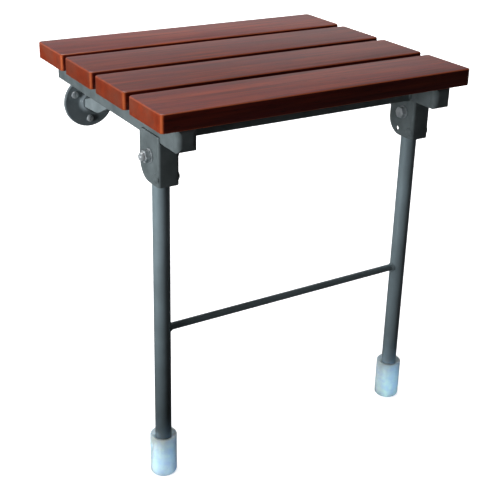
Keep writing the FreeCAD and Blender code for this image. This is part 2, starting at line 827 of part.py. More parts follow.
def make_hinges():
    bolts = []
    nuts = []
    washers = []
    for word, side in SIDES.items():
        bolt, nut, pair = make_hinge(word, side)
        bolts.append(bolt)
        nuts.append(nut)
        washers.extend(pair)
    group("hinge_bolts", bolts)
    group("hinge_nuts", nuts)
    group("hinge_washers", washers)


def check_document():
    """Stops if any object failed, a pocket cut nothing or a sub-part isn't a sound shape."""
    for item in doc.Objects:
        for state in item.State:
            if state in ("Invalid", "Error"):
                raise RuntimeError(f"{item.Name} is {state}")
        if item.TypeId == "PartDesign::Pocket" and item.Shape.Volume >= item.BaseFeature.Shape.Volume:
            raise RuntimeError(f"{item.Name} cuts nothing")
    for piece in sub_parts:
        if piece.Shape.isNull() or not piece.Shape.isValid():
            raise RuntimeError(f"{piece.Label} has no sound shape")


for index, name in enumerate(SLAT_NAMES):
    make_slat(index, name)
for word, side in SIDES.items():
    make_side_rail(word, side)
    make_front_cap(word, side)
    make_rear_plug(word, side)
    make_leg_bracket(word, side)
    make_leg_tube(word, side)
    make_foot(word, side)
    make_wall_flange(word, side)
    make_wall_screws(word, side)
    make_hinge_arm(word, side)
make_cross_rail("front_cross_rail", front_rail_y)
make_cross_rail("rear_cross_rail", rear_rail_y)
make_slat_screws()
make_stop_rivets()
make_leg_pivots()
make_pivot_sleeves()
make_leg_plugs()
make_cross_bar()
make_hinges()
doc.recompute()
check_document()

os.makedirs("parts", exist_ok=True)
for piece in sub_parts:
    piece.Shape.exportStep(f"parts/{piece.Label}.step")
    print(f"{piece.Label}: {len(piece.Shape.Solids)} solids, volume {piece.Shape.Volume:.1f}")
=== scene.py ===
"""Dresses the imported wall-mounted folding seat: its slats, frame, legs, feet and wall fittings."""

import logging
import math
from dataclasses import dataclass, field
from enum import Enum
from typing import Any, Callable, Iterable, Optional, Sequence

import bmesh
import bpy
from mathutils import Matrix, Vector


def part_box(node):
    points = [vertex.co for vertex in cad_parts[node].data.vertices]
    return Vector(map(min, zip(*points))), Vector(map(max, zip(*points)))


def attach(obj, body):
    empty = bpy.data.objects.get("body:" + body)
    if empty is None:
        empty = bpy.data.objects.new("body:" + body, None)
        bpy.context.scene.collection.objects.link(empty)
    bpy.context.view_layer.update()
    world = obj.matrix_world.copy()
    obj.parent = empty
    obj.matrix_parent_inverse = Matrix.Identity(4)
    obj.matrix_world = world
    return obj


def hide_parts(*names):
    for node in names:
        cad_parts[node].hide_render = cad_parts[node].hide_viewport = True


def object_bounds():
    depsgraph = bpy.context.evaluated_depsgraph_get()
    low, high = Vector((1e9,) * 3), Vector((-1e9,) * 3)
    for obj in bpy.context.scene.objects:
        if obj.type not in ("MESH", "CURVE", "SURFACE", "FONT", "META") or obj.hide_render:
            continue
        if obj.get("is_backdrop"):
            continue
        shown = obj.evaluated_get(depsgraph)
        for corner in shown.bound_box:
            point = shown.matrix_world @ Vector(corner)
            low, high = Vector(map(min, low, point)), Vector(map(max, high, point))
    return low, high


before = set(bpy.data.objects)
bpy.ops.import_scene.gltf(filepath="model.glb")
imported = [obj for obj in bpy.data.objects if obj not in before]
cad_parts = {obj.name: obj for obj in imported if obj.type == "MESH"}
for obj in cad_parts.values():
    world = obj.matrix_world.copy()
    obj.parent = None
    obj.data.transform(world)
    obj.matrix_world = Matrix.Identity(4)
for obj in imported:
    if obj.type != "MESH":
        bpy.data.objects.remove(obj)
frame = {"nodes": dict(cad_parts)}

LOG = logging.getLogger("folding_seat")
MM = 0.001
SIDES: dict[str, int] = {"left": -1, "right": 1}
Point = tuple[float, float, float]
Profile = list[tuple[float, float]]
Piece = bpy.types.Object
Material = bpy.types.Material
Tree = bpy.types.NodeTree
Node = bpy.types.Node
# What feeds a socket: an output, or a node, which stands for its first output.
Source = Any


# Named options

class Body(Enum):
    """The parts of the seat that move as one."""

    WALL = "wall"
    SEAT = "seat"
    LEGS = "leg_frame"


class Slot(Enum):
    """The record's names for the finishes."""

    WOOD = "hardwood"
    STEEL = "satin_steel"
    DARK = "dark_steel"
    BRIGHT = "bright_steel"
    FOOT = "foot_plastic"


class Kind(Enum):
    """The kinds of shader node in use."""

    ADD_SHADER = "ShaderNodeAddShader"
    BACKGROUND = "ShaderNodeBackground"
    BEVEL = "ShaderNodeBevel"
    BUMP = "ShaderNodeBump"
    COORDINATES = "ShaderNodeTexCoord"
    DIFFUSE = "ShaderNodeBsdfDiffuse"
    EMISSION = "ShaderNodeEmission"
    GEOMETRY = "ShaderNodeNewGeometry"
    MAPPING = "ShaderNodeMapping"
    MATH = "ShaderNodeMath"
    MIX = "ShaderNodeMix"
    MIX_SHADER = "ShaderNodeMixShader"
    NOISE = "ShaderNodeTexNoise"
    OUTPUT = "ShaderNodeOutputMaterial"
    PRINCIPLED = "ShaderNodeBsdfPrincipled"
    RAMP = "ShaderNodeValToRGB"
    RANGE = "ShaderNodeMapRange"
    RAYS = "ShaderNodeLightPath"
    SEPARATE = "ShaderNodeSeparateXYZ"
    TONE = "ShaderNodeHueSaturation"
    VECTOR = "ShaderNodeVectorMath"
    WORLD_OUTPUT = "ShaderNodeOutputWorld"


class Along(Enum):
    """The way in which a piece points that was modelled along +Z."""

    PLUS_X = (1, 0, 0)
    MINUS_X = (-1, 0, 0)
    PLUS_Y = (0, 1, 0)
    MINUS_Y = (0, -1, 0)
    MINUS_Z = (0, 0, -1)

    def matrix(self, place: Sequence[float] = (0, 0, 0)) -> Matrix:
        """Gives the matrix that turns +Z to this way and moves the origin to the place."""
        turn = Vector((0, 0, 1)).rotation_difference(Vector(self.value))
        return Matrix.Translation(place) @ turn.to_matrix().to_4x4()


# Measures and colours

def middle(node: str) -> Vector:
    """Gives the middle of a CAD node's box."""
    low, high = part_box(node)
    return (low + high) / 2


def half_size(node: str) -> Vector:
    """Gives half the sides of a CAD node's box, in millimetres."""
    low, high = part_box(node)
    return (high - low) / 2 / MM


def arc(centre: tuple[float, float], reach: tuple[float, float], angles: Iterable[float]) -> Profile:
    """Gives a profile's points round an ellipse.

    Args:
        centre: Its middle, as a radius and a height in millimetres.
        reach: Its half-width and half-height, in millimetres.
        angles: Where the points lie, in degrees from straight outwards.

    Returns:
        The points, as radii and heights.
    """
    return [(centre[0] + reach[0] * math.cos(math.radians(angle)),
             centre[1] + reach[1] * math.sin(math.radians(angle))) for angle in angles]


def linear(code: str) -> tuple[float, float, float, float]:
    """Turns an sRGB colour to linear light.

    Args:
        code: Six hex digits after a hash.

    Returns:
        Red, green, blue and an alpha of one.
    """
    parts = [int(code[start:start + 2], 16) / 255 for start in (1, 3, 5)]
    red, green, blue = (p / 12.92 if p <= 0.04045 else ((p + 0.055) / 1.055) ** 2.4 for p in parts)
    return red, green, blue, 1.0


# Shader nodes

def set_node(tree: Tree, node: Node, settings: Optional[dict[Any, Any]] = None,
             links: Optional[dict[Any, Source]] = None) -> Node:
    """Gives a node its settings and links.

    Args:
        tree: The node tree.
        node: The node.
        settings: Properties of the node, or values of its sockets by name or number.
        links: What feeds each named or numbered input.

    Returns:
        The same node.
    """
    for key, value in (settings or {}).items():
        if isinstance(key, str) and key not in node.inputs:
            setattr(node, key, value)
        else:
            node.inputs[key].default_value = value
    for key, source in (links or {}).items():
        output = source.outputs[0] if isinstance(source, bpy.types.Node) else source
        tree.links.new(output, node.inputs[key])
    return node


def add_node(tree: Tree, kind: Kind, settings: Optional[dict[Any, Any]] = None,
             links: Optional[dict[Any, Source]] = None) -> Node:
    """Adds one node to a tree, with its settings and links as set_node takes them."""
    return set_node(tree, tree.nodes.new(kind.value), settings, links)


def fill_ramp(node: Node, stops: Sequence[tuple[float, str]]) -> Node:
    """Sets the stops of a colour ramp.

    Args:
        node: The ramp.
        stops: A place and a hex colour for each stop, from low to high.

    Returns:
        The same node.
    """
    elements = node.color_ramp.elements
    while len(elements) < len(stops):
        elements.new(1.0)
    for element, (place, code) in zip(elements, stops):
        element.position = place
        element.color = linear(code)
    return node


def new_material(name: str) -> tuple[Material, Tree, Node]:
    """Makes an empty material with its shader.

    Args:
        name: The material's name.

    Returns:
        The material, its node tree and its Principled shader, which feeds the output.
    """
    material = bpy.data.materials.new(name)
    material.use_nodes = True
    tree = material.node_tree
    tree.nodes.clear()
    shader = add_node(tree, Kind.PRINCIPLED)
    add_node(tree, Kind.OUTPUT, links={"Surface": shader})
    return material, tree, shader


def object_place(tree: Tree, offset: Point = (0, 0, 0), turn: Point = (0, 0, 0),
                 scale: Point = (1, 1, 1)) -> Node:
    """Gives the place on the object in metres, turned, moved and stretched.

    Args:
        tree: The node tree.
        offset: How far the pattern is moved.
        turn: How the pattern is turned, in radians.
        scale: How many pattern units there are to a metre, each way.

    Returns:
        The node that holds the place.
    """
    coordinates = add_node(tree, Kind.COORDINATES)
    return add_node(tree, Kind.MAPPING, {"Location": offset, "Rotation": turn, "Scale": scale},
                    {"Vector": coordinates.outputs["Object"]})


def mixed(tree: Tree, share: Source, first: Source, second: Source, blend: str = "MIX") -> Source:
    """Mixes two colours by a share.

    Args:
        tree: The node tree.
        share: What says how much of the second shows, or a number.
        first: What feeds the first colour, or a hex colour.
        second: What feeds the second colour, or a hex colour.
        blend: The way in which the second is laid on the first.

    Returns:
        The mixed colour's output.
    """
    settings: dict[Any, Any] = {"data_type": "RGBA", "blend_type": blend}
    links: dict[Any, Source] = {}
    for key, value in ((0, share), (6, first), (7, second)):
        if isinstance(value, str):
            settings[key] = linear(value)
        elif isinstance(value, float):
            settings[key] = value
        else:
            links[key] = value
    return add_node(tree, Kind.MIX, settings, links).outputs[2]


def skin(tree: Tree, shader: Node, gloss: Source, roughness: tuple[float, float], relief: Source,
         strength: float, depth_mm: float) -> None:
    """Varies a shader's roughness by one pattern and its relief by another.

    Args:
        tree: The node tree.
        shader: The shader.
        gloss: The pattern for the roughness.
        roughness: The roughness where that pattern is low and where it is high.
        relief: The pattern for the relief.
        strength: How strongly the relief shows.
        depth_mm: How deep the relief is.
    """
    rough = add_node(tree, Kind.RANGE, {"To Min": roughness[0], "To Max": roughness[1]}, {"Value": gloss})
    bump = add_node(tree, Kind.BUMP, {"Strength": strength, "Distance": depth_mm * MM}, {"Height": relief})
    set_node(tree, shader, links={"Roughness": rough, "Normal": bump})


def worn_edges(tree: Tree, reach_mm: float, patch_mm: float = 6.25) -> Node:
    """Finds the edges where handling rubs a coating thin.

    Args:
        tree: The node tree.
        reach_mm: How far the wear reaches from the edge.
        patch_mm: How long the patches are that the wear breaks up into.

    Returns:
        A share that is one on the sharpest edges and nought on flat faces.
    """
    rounded = add_node(tree, Kind.BEVEL, {"samples": 4, "Radius": reach_mm * MM})
    true = add_node(tree, Kind.GEOMETRY).outputs["Normal"]
    agreement = add_node(tree, Kind.VECTOR, {"operation": "DOT_PRODUCT"}, {0: rounded, 1: true})
    edge = add_node(tree, Kind.RANGE, {"From Min": 0.985, "From Max": 0.90},
                    {"Value": agreement.outputs["Value"]})
    patches = add_node(tree, Kind.NOISE, {"Scale": 1 / (patch_mm * MM), "Detail": 3.0},
                       {"Vector": object_place(tree)})
    broken = add_node(tree, Kind.RANGE, {"From Min": 0.40, "From Max": 0.62}, {"Value": patches})
    return add_node(tree, Kind.MATH, {"operation": "MULTIPLY"}, {0: edge, 1: broken})


# Finishes

@dataclass(frozen=True)
class VarnishedSapele:
    """Sapele, planed and satin-varnished: reddish brown with darker stripes along the plank and short open
    pores, under a film that goes greyish where it catches the light from behind."""

    dark: str = "#671709"
    middle: str = "#8d2a12"
    light: str = "#a8401e"
    pore: str = "#300a05"
    crimson_patch: str = "#7a2428"
    # Painted shade: the near-black that the planks' front and back faces take, for the shade on them and in
    # the gaps.
    painted_shade_long_face: str = "#2c0602"
    end_grain: str = "#80341b"
    end_brown: str = "#72503a"
    # Partly real rub, partly painted highlight: the light orange that the rounded arrises take.
    worn_and_highlit_arris: str = "#c9683a"
    # Each pattern's length along the plank and width across it.
    stripe_mm: tuple[float, float] = (230.0, 9.0)
    fibre_mm: tuple[float, float] = (230.0 / 3, 2.2)
    # Real pores are about 0.2 mm wide. They are drawn as coarse as the render needs to show them.
    pore_mm: tuple[float, float] = (230.0 / 14, 1.3)
    patch_mm: tuple[float, float] = (1000.0 / 13, 100.0 / 3)
    relief_mm: float = 0.12

    def material(self, plank: int, tone: float) -> Material:
        """Makes one plank's own wood.

        Args:
            plank: The plank's number, which moves and tilts the grain.
            tone: How much lighter or darker this plank is than the others.

        Returns:
            The material.
        """
        material, tree, shader = new_material(f"varnished_sapele_{plank}")
        # Each plank is cut at another place and a little askew.
        shift = (1.7 * plank, 0.63 * plank, 0.29 * plank)
        lean = (0.0, 0.05 * math.sin(plank * 2.1), 0.035 * math.cos(plank * 1.7))
        patterns = []
        for (length_mm, width_mm), settings in (
                (self.stripe_mm, {"Detail": 5.0, "Roughness": 0.55, "Distortion": 0.6}),
                (self.fibre_mm, {"Detail": 3.0, "Roughness": 0.6}),
                (self.pore_mm, {"Detail": 1.0}),
                (self.patch_mm, {"Detail": 2.0})):
            along, across = 1 / (length_mm * MM), 1 / (width_mm * MM)
            place = object_place(tree, shift, lean, (along, across, across))
            patterns.append(add_node(tree, Kind.NOISE, {"Scale": 1.0, **settings}, {"Vector": place}))
        stripes, fibres, pores, patches = patterns
        striped = fill_ramp(add_node(tree, Kind.RAMP, links={0: stripes}),
                            [(0.32, self.dark), (0.50, self.middle), (0.68, self.light)])
        threads = fill_ramp(add_node(tree, Kind.RAMP, links={0: fibres}),
                            [(0.30, "#9a9a9a"), (0.50, "#dcdcdc"), (0.72, "#ffffff")])
        patch = add_node(tree, Kind.RANGE, {"From Min": 0.40, "From Max": 0.66, "To Max": 0.55},
                         {"Value": patches})
        open_pore = add_node(tree, Kind.RANGE, {"From Min": 0.64, "From Max": 0.72, "To Max": 0.65},
                             {"Value": pores})
        end, painted_shade_long_face, worn_and_highlit_arris = self.faces(tree)
        colour = mixed(tree, patch, striped, self.crimson_patch)
        colour = mixed(tree, 0.75, colour, threads, "MULTIPLY")
        end_colour = mixed(tree, patch, self.end_grain, self.end_brown)
        for share, laid in ((open_pore, self.pore), (end, end_colour), (painted_shade_long_face, self.painted_shade_long_face),
                            (worn_and_highlit_arris, self.worn_and_highlit_arris)):
            colour = mixed(tree, share, colour, laid)
        toned = add_node(tree, Kind.TONE, {"Value": tone}, {"Color": colour})
        relief = add_node(tree, Kind.MATH, {"operation": "MULTIPLY_ADD", 1: -1.6}, {0: open_pore, 2: fibres})
        skin(tree, shader, fibres, (0.38, 0.52), relief, 0.35, self.relief_mm)
        varnish = add_node(tree, Kind.RANGE, {"From Max": 0.6, "To Min": 0.6, "To Max": 0.15}, {"Value": end})
        set_node(tree, shader, {"IOR": 1.5, "Specular IOR Level": 0.3, "Coat Roughness": 0.13},
                 {"Base Color": toned, "Coat Weight": varnish})
        return material

    @staticmethod
    def faces(tree: Tree) -> tuple[Node, Node, Node]:
        """Finds the plank's ends, its long front and back faces, which get a painted shade, and its arrises,
        which get a colour that is partly rub and partly painted highlight.

        Args:
            tree: The node tree.

        Returns:
            The shares of the colours of the ends, of the painted shade on the long faces and of the arrises.
        """
        normal = add_node(tree, Kind.COORDINATES).outputs["Normal"]
        sizes = add_node(tree, Kind.VECTOR, {"operation": "ABSOLUTE"}, {0: normal})
        x, y, z = add_node(tree, Kind.SEPARATE, links={0: sizes}).outputs
        side = add_node(tree, Kind.MATH, {"operation": "MAXIMUM"}, {0: y, 1: z})
        most = add_node(tree, Kind.MATH, {"operation": "MAXIMUM"}, {0: side, 1: x})
        upper_end = add_node(tree, Kind.MATH, {"operation": "MINIMUM"}, {0: x, 1: z})
        end = add_node(tree, Kind.RANGE, {"From Min": 0.6, "From Max": 0.95, "To Max": 0.6}, {"Value": x})
        # Painted shade: faces that point along Y, the planks' front and back, take the dark colour.
        painted_shade_long_face = add_node(tree, Kind.RANGE, {"From Min": 0.85, "From Max": 0.98, "To Max": 0.6},
                             {"Value": y})
        # Painted highlight, partly real rub: rounded arrises, found by their slanted normals, take the light
        # orange colour, less of it where an end meets the top.
        rub_and_highlight_share = add_node(tree, Kind.RANGE, {"From Max": 0.7, "To Min": 0.65, "To Max": 0.25},
                          {"Value": upper_end})
        worn_and_highlit_arris = add_node(tree, Kind.RANGE, {"From Min": 0.97, "From Max": 0.80},
                         {"Value": most, "To Max": rub_and_highlight_share})
        return end, painted_shade_long_face, worn_and_highlit_arris


@dataclass(frozen=True)
class CoatedMetal:
    """Steel under a thin baked coating: an even satin film with faint orange peel, rubbed lighter on its
    edges. One with a painted floor shade keeps only these shares of its colour near the floor, at the left
    and the right leg, as painted shade for the light that falls off there, and takes a little painted light
    higher up."""

    name: str
    colour: str
    shade: str
    worn: str
    metallic: float
    roughness: float
    peel_mm: float
    peel_depth_mm: float
    cloud_mm: float = 22.0
    wear_reach_mm: float = 0.9
    wear_share: float = 0.5
    painted_floor_shade: Optional[tuple[float, float]] = None
    painted_shade_span_mm: tuple[float, float] = (-300.0, -40.0)
    painted_shade_side_mm: float = 178.0
    painted_light_share: float = 1.08

    def with_painted_floor_shade(self, tree: Tree, colour: Source) -> Source:
        """Paints shade on the coating towards the floor, and a little painted light higher up.

        Args:
            tree: The node tree.
            colour: The coating's colour.

        Returns:
            The colour with its painted shade and light, or as it was where none is painted.
        """
        if not self.painted_floor_shade:
            return colour
        x, _, z = add_node(tree, Kind.SEPARATE, links={0: object_place(tree)}).outputs
        side = self.painted_shade_side_mm * MM
        low, high = (height * MM for height in self.painted_shade_span_mm)
        # Painted shade: the colour falls to the given shares near the floor, darkest at the left leg, and
        # rises above the span to the painted-light share.
        floor_shade_share = add_node(tree, Kind.RANGE, {"From Min": -side, "From Max": side, "To Min": self.painted_floor_shade[0],
                                            "To Max": self.painted_floor_shade[1]}, {"Value": x})
        left = add_node(tree, Kind.RANGE, {"From Min": low, "From Max": high, "To Max": self.painted_light_share},
                        {"Value": z, "To Min": floor_shade_share})
        return mixed(tree, 1.0, colour, left, "MULTIPLY")

    def material(self) -> Material:
        """Makes the coating.

        Returns:
            The material.
        """
        material, tree, shader = new_material(self.name)
        clouds, peel = (add_node(tree, Kind.NOISE, {"Scale": 1 / (size * MM), "Detail": detail},
                                 {"Vector": object_place(tree)})
                        for size, detail in ((self.cloud_mm, 4.0), (self.peel_mm, 2.0)))
        cloudy = add_node(tree, Kind.RANGE, {"From Min": 0.35, "From Max": 0.65}, {"Value": clouds})
        colour = self.with_painted_floor_shade(tree, mixed(tree, cloudy, self.colour, self.shade))
        wear = add_node(tree, Kind.MATH, {"operation": "MULTIPLY", 1: self.wear_share},
                        {0: worn_edges(tree, self.wear_reach_mm)})
        skin(tree, shader, peel, (self.roughness - 0.06, self.roughness + 0.06), peel, 0.5,
             self.peel_depth_mm)
        set_node(tree, shader, {"Metallic": self.metallic},
                 {"Base Color": mixed(tree, wear, colour, self.worn)})
        return material


@dataclass(frozen=True)
class BrightZinc:
    """Zinc-plated steel: a light grey metal, a little milky, with turning marks and a few dull clouds."""

    colour: str = "#dbe0e2"
    shade: str = "#b7bec1"
    roughness: float = 0.34
    metallic: float = 0.6
    cloud_mm: float = 9.0
    # Real turning marks are about 0.1 mm apart. They are drawn coarser, so that they show close by.
    mark_mm: float = 0.6
    mark_depth_mm: float = 0.03

    def material(self) -> Material:
        """Makes the plating.

        Returns:
            The material.
        """
        material, tree, shader = new_material("milky_zinc_plating")
        marks, clouds = (add_node(tree, Kind.NOISE, {"Scale": 1 / (size * MM), "Detail": detail},
                                  {"Vector": object_place(tree)})
                         for size, detail in ((self.mark_mm, 3.0), (self.cloud_mm, 2.0)))
        dull = add_node(tree, Kind.RANGE, {"From Min": 0.45, "From Max": 0.7}, {"Value": clouds})
        skin(tree, shader, clouds, (self.roughness - 0.07, self.roughness + 0.12), marks, 0.3,
             self.mark_depth_mm)
        set_node(tree, shader, {"Metallic": self.metallic},
                 {"Base Color": mixed(tree, dull, self.colour, self.shade)})
        return material


@dataclass(frozen=True)
class MouldedPlastic:
    """Moulded plastic: a smooth satin skin with soft mottling, a little scuffed where it meets the floor."""

    name: str
    colour: str
    shade: str
    scuff: str
    roughness: float
    scuff_height_mm: float
    mottle_mm: float = 9.0
    grain_mm: float = 1.4
    grain_depth_mm: float = 0.08
    glow: float = 0.0
    glow_reach: Point = (0.035, 0.042, 0.050)

    def material(self, base: float) -> Material:
        """Makes the plastic.

        Args:
            base: The height of the end that gets scuffed, in metres.

        Returns:
            The material.
        """
        material, tree, shader = new_material(self.name)
        mottle, grain = (add_node(tree, Kind.NOISE, {"Scale": 1 / (size * MM), "Detail": detail},
                                  {"Vector": object_place(tree)})
                         for size, detail in ((self.mottle_mm, 4.0), (self.grain_mm, 2.0)))
        cloudy = add_node(tree, Kind.RANGE, {"From Min": 0.35, "From Max": 0.65}, {"Value": mottle})
        colour = mixed(tree, cloudy, self.colour, self.shade)
        height = add_node(tree, Kind.SEPARATE, links={0: object_place(tree)}).outputs["Z"]
        low = add_node(tree, Kind.RANGE, {"From Min": base + self.scuff_height_mm * MM, "From Max": base},
                       {"Value": height})
        patchy = add_node(tree, Kind.RANGE, {"From Min": 0.42, "From Max": 0.62, "To Max": 0.8},
                          {"Value": grain})
        scuffed = add_node(tree, Kind.MATH, {"operation": "MULTIPLY"}, {0: low, 1: patchy})
        skin(tree, shader, mottle, (self.roughness - 0.08, self.roughness + 0.1), grain, 0.35,
             self.grain_depth_mm)
        set_node(tree, shader, {"IOR": 1.5}, {"Base Color": mixed(tree, scuffed, colour, self.scuff)})
        if self.glow:
            set_node(tree, shader, {"Subsurface Weight": self.glow, "Subsurface Radius": self.glow_reach,
                                    "Subsurface Scale": 1.0})
        return material


# Epoxy powder baked on rectangular tube: a flat middle grey that hardly mirrors.
FRAME_COATING = CoatedMetal("silver_grey_epoxy_coated_steel", "#7c8586", "#676f70", "#a2aaab",
                            metallic=0.3, roughness=0.47, peel_mm=1.6, peel_depth_mm=0.03)
# The same on round tube, with more metal flake: a cool sheen that draws a soft streak down each leg. Its
# colour carries a painted shade towards the floor, deeper on the left leg.
TUBE_COATING = CoatedMetal("blue_grey_epoxy_coated_tube", "#a3b4ba", "#95a4a9", "#b9c5c9",
                           metallic=0.5, roughness=0.37, peel_mm=1.6, peel_depth_mm=0.02, cloud_mm=40.0,
                           painted_floor_shade=(0.32, 0.72))
# Paint over a sand casting: a slightly lumpy darker grey.
CAST_COATING = CoatedMetal("dark_grey_coated_cast_iron", "#858e92", "#6c7578", "#a2aaad",
                           metallic=0.2, roughness=0.34, peel_mm=2.2, peel_depth_mm=0.10)
# Paint over a forging: light grey, with the hammered surface just showing through.
FORGED_COATING = CoatedMetal("light_grey_coated_forged_steel", "#98a2a4", "#848e90", "#b6bfc1",
                             metallic=0.2, roughness=0.45, peel_mm=3.0, peel_depth_mm=0.08)
# Soft PVC: bluish white and a little cloudy, because light goes into it.
FOOT_PLASTIC = MouldedPlastic("soft_pvc_blue_white", "#bcd4dc", "#aac4de", "#8694a0",
                              roughness=0.46, scuff_height_mm=7, glow=1.0)
# Nylon: a dull near-black.
BLACK_NYLON = MouldedPlastic("black_moulded_nylon", "#1d1f21", "#17191b", "#2a2c2e",
                             roughness=0.5, scuff_height_mm=1)


@dataclass(frozen=True)
class Paints:
    """The finishes in use, each made once."""

    planks: list[Material]
    frame: Material
    tube: Material
    cast: Material
    forged: Material
    zinc: Material
    foot: Material
    black: Material

    @classmethod
    def mix(cls, tones: Sequence[float]) -> "Paints":
        """Makes every finish.

        Args:
            tones: How light each plank is, from the wall to the front.

        Returns:
            The paints.
        """
        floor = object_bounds()[0].z
        planks = [VarnishedSapele().material(number, tone) for number, tone in enumerate(tones)]
        coatings = (FRAME_COATING, TUBE_COATING, CAST_COATING, FORGED_COATING, BrightZinc())
        plastics = (FOOT_PLASTIC, BLACK_NYLON)
        return cls(planks, *(coating.material() for coating in coatings),
                   *(plastic.material(floor) for plastic in plastics))


# Modelling

class Bench:
    """Shapes pieces by hand operations in edit mode."""

    @staticmethod
    def clear() -> None:
        """Leaves edit mode and deselects everything."""
        if bpy.context.object and bpy.context.object.mode != "OBJECT":
            bpy.ops.object.mode_set(mode="OBJECT")
        bpy.ops.object.select_all(action="DESELECT")

    @staticmethod
    def take(piece: Piece) -> None:
        """Makes one piece the only one that is selected and active.

        Args:
            piece: The piece.
        """
        Bench.clear()
        piece.select_set(True)
        bpy.context.view_layer.objects.active = piece

    @staticmethod
    def named(name: str) -> Piece:
        """Names the piece that was added last.

        Args:
            name: Its name.

        Returns:
            The piece.
        """
        piece = bpy.context.object
        piece.name = piece.data.name = name
        return piece

    @staticmethod
    def pick(test: Callable[[Any], bool]) -> None:
        """Selects edges of the piece in edit mode, by their place or angle.

        Args:
            test: Says whether an edge is wanted.
        """
        bpy.ops.mesh.select_mode(type="EDGE")
        bpy.ops.mesh.select_all(action="DESELECT")
        data = bpy.context.object.data
        mesh = bmesh.from_edit_mesh(data)
        for edge in [edge for edge in mesh.edges if test(edge)]:
            edge.select_set(True)
        mesh.select_flush_mode()
        bmesh.update_edit_mesh(data)

    @staticmethod
    def soften(test: Callable[[Any], bool], width_mm: float, segments: int) -> None:
        """Rounds the edges that a test picks, of the piece in edit mode."""
        Bench.pick(test)
        bpy.ops.mesh.bevel(offset=width_mm * MM, segments=segments, profile=0.5, affect="EDGES")

    @staticmethod
    def block(name: str, low: Vector, high: Vector) -> Piece:
        """Adds a block between two corners and leaves it in edit mode.

        Args:
            name: The piece's name.
            low: The lowest corner.
            high: The highest corner.

        Returns:
            The new piece.
        """
        Bench.clear()
        bpy.ops.mesh.primitive_cube_add(size=1.0)
        piece = Bench.named(name)
        bpy.ops.object.mode_set(mode="EDIT")
        bpy.ops.transform.resize(value=high - low, center_override=(0, 0, 0))
        bpy.ops.transform.translate(value=(low + high) / 2)
        return piece

    @staticmethod
    def turned(name: str, profile: Sequence[tuple[float, float]], steps: int,
               matrix: Optional[Matrix] = None) -> Piece:
        """Turns a round piece: a ring is drawn up along +Z and widened or narrowed at each point.

        Args:
            name: The piece's name.
            profile: Radius and height of each point, in millimetres. It closes itself at both ends.
            steps: How many sides the rings have.
            matrix: Where the piece goes, if not to the origin.

        Returns:
            The new piece, its place in its mesh.
        """
        Bench.clear()
        radius, height = profile[0]
        bpy.ops.mesh.primitive_circle_add(vertices=steps, radius=radius * MM, location=(0, 0, height * MM))
        piece = Bench.named(name)
        bpy.ops.object.transform_apply(location=True)
        bpy.ops.object.mode_set(mode="EDIT")
        bpy.ops.mesh.select_mode(type="EDGE")
        bpy.ops.mesh.select_all(action="SELECT")
        for next_radius, next_height in profile[1:]:
            bpy.ops.mesh.extrude_region_move(
                TRANSFORM_OT_translate={"value": (0, 0, (next_height - height) * MM)})
            share = next_radius / radius
            bpy.ops.transform.resize(value=(share, share, 1), center_override=(0, 0, next_height * MM))
            radius, height = next_radius, next_height
        bpy.ops.mesh.select_all(action="SELECT")
        bpy.ops.mesh.remove_doubles(threshold=0.000001)
        Bench.pick(lambda edge: edge.is_boundary)
        bpy.ops.mesh.fill_holes(sides=0)
        return Bench.finish(piece, matrix)

    @staticmethod
    def finish(piece: Piece, matrix: Optional[Matrix] = None, sharp_angle: float = 34) -> Piece:
        """Turns the faces outwards, puts the place into the mesh and smooths the gentle edges.

        Args:
            piece: The piece, in edit or object mode.
            matrix: Where the piece goes, if it isn't there yet.
            sharp_angle: Edges sharper than this, in degrees, stay crisp.

        Returns:
            The same piece.
        """
        Bench.take(piece)
        bpy.ops.object.mode_set(mode="EDIT")
        bpy.ops.mesh.select_all(action="SELECT")
        bpy.ops.mesh.remove_doubles(threshold=0.000001)
        bpy.ops.mesh.normals_make_consistent(inside=False)
        bpy.ops.object.mode_set(mode="OBJECT")
        if matrix is not None:
            piece.data.transform(matrix)
        piece.data.update()
        bpy.ops.object.shade_smooth_by_angle(angle=math.radians(sharp_angle))
        return piece

    @staticmethod
    def combine(piece: Piece, tool: Piece, how: str) -> Piece:
        """Cuts or crosses a piece with a tool, which is then thrown away.

        Args:
            piece: The piece that stays.
            tool: The other solid.
            how: DIFFERENCE or INTERSECT.

        Returns:
            The piece.
        """
        Bench.take(piece)
        change = piece.modifiers.new("cut", "BOOLEAN")
        change.operation = how
        change.object = tool
        change.solver = "EXACT"
        bpy.ops.object.modifier_apply(modifier=change.name)
        bpy.data.objects.remove(tool)
        return piece

    @staticmethod
    def copy_of(piece: Piece, name: str, matrix: Matrix) -> Piece:
        """Copies a piece with a mesh of its own, moved by a matrix.

        Args:
            piece: The piece to copy.
            name: The copy's name.
            matrix: How the copy is moved and turned.

        Returns:
            The copy.
        """
        copy = piece.copy()
        copy.data = piece.data.copy()
        copy.name = copy.data.name = name
        bpy.context.scene.collection.objects.link(copy)
        copy.data.transform(matrix)
        return copy

    @staticmethod
    def copies(pattern: Piece, places: Sequence[Matrix], keep: bool = False) -> list[Piece]:
        """Copies a pattern to each place.

        Args:
            pattern: The piece to copy.
            places: How each copy is moved and turned.
            keep: Whether the pattern is still needed. Otherwise it is thrown away.

        Returns:
            The copies.
        """
        pieces = [Bench.copy_of(pattern, f"{pattern.name}_{number}", place)
                  for number, place in enumerate(places)]
        if not keep:
            bpy.data.objects.remove(pattern)
        return pieces

    @staticmethod
    def join(name: str, pieces: Sequence[Piece]) -> Piece:
        """Joins like pieces to one object.

        Args:
            name: The object's name.
            pieces: The pieces.

        Returns:
            The joined object.
        """
        Bench.take(pieces[0])
        for piece in pieces[1:]:
            piece.select_set(True)
        bpy.ops.object.join()
        return Bench.named(name)

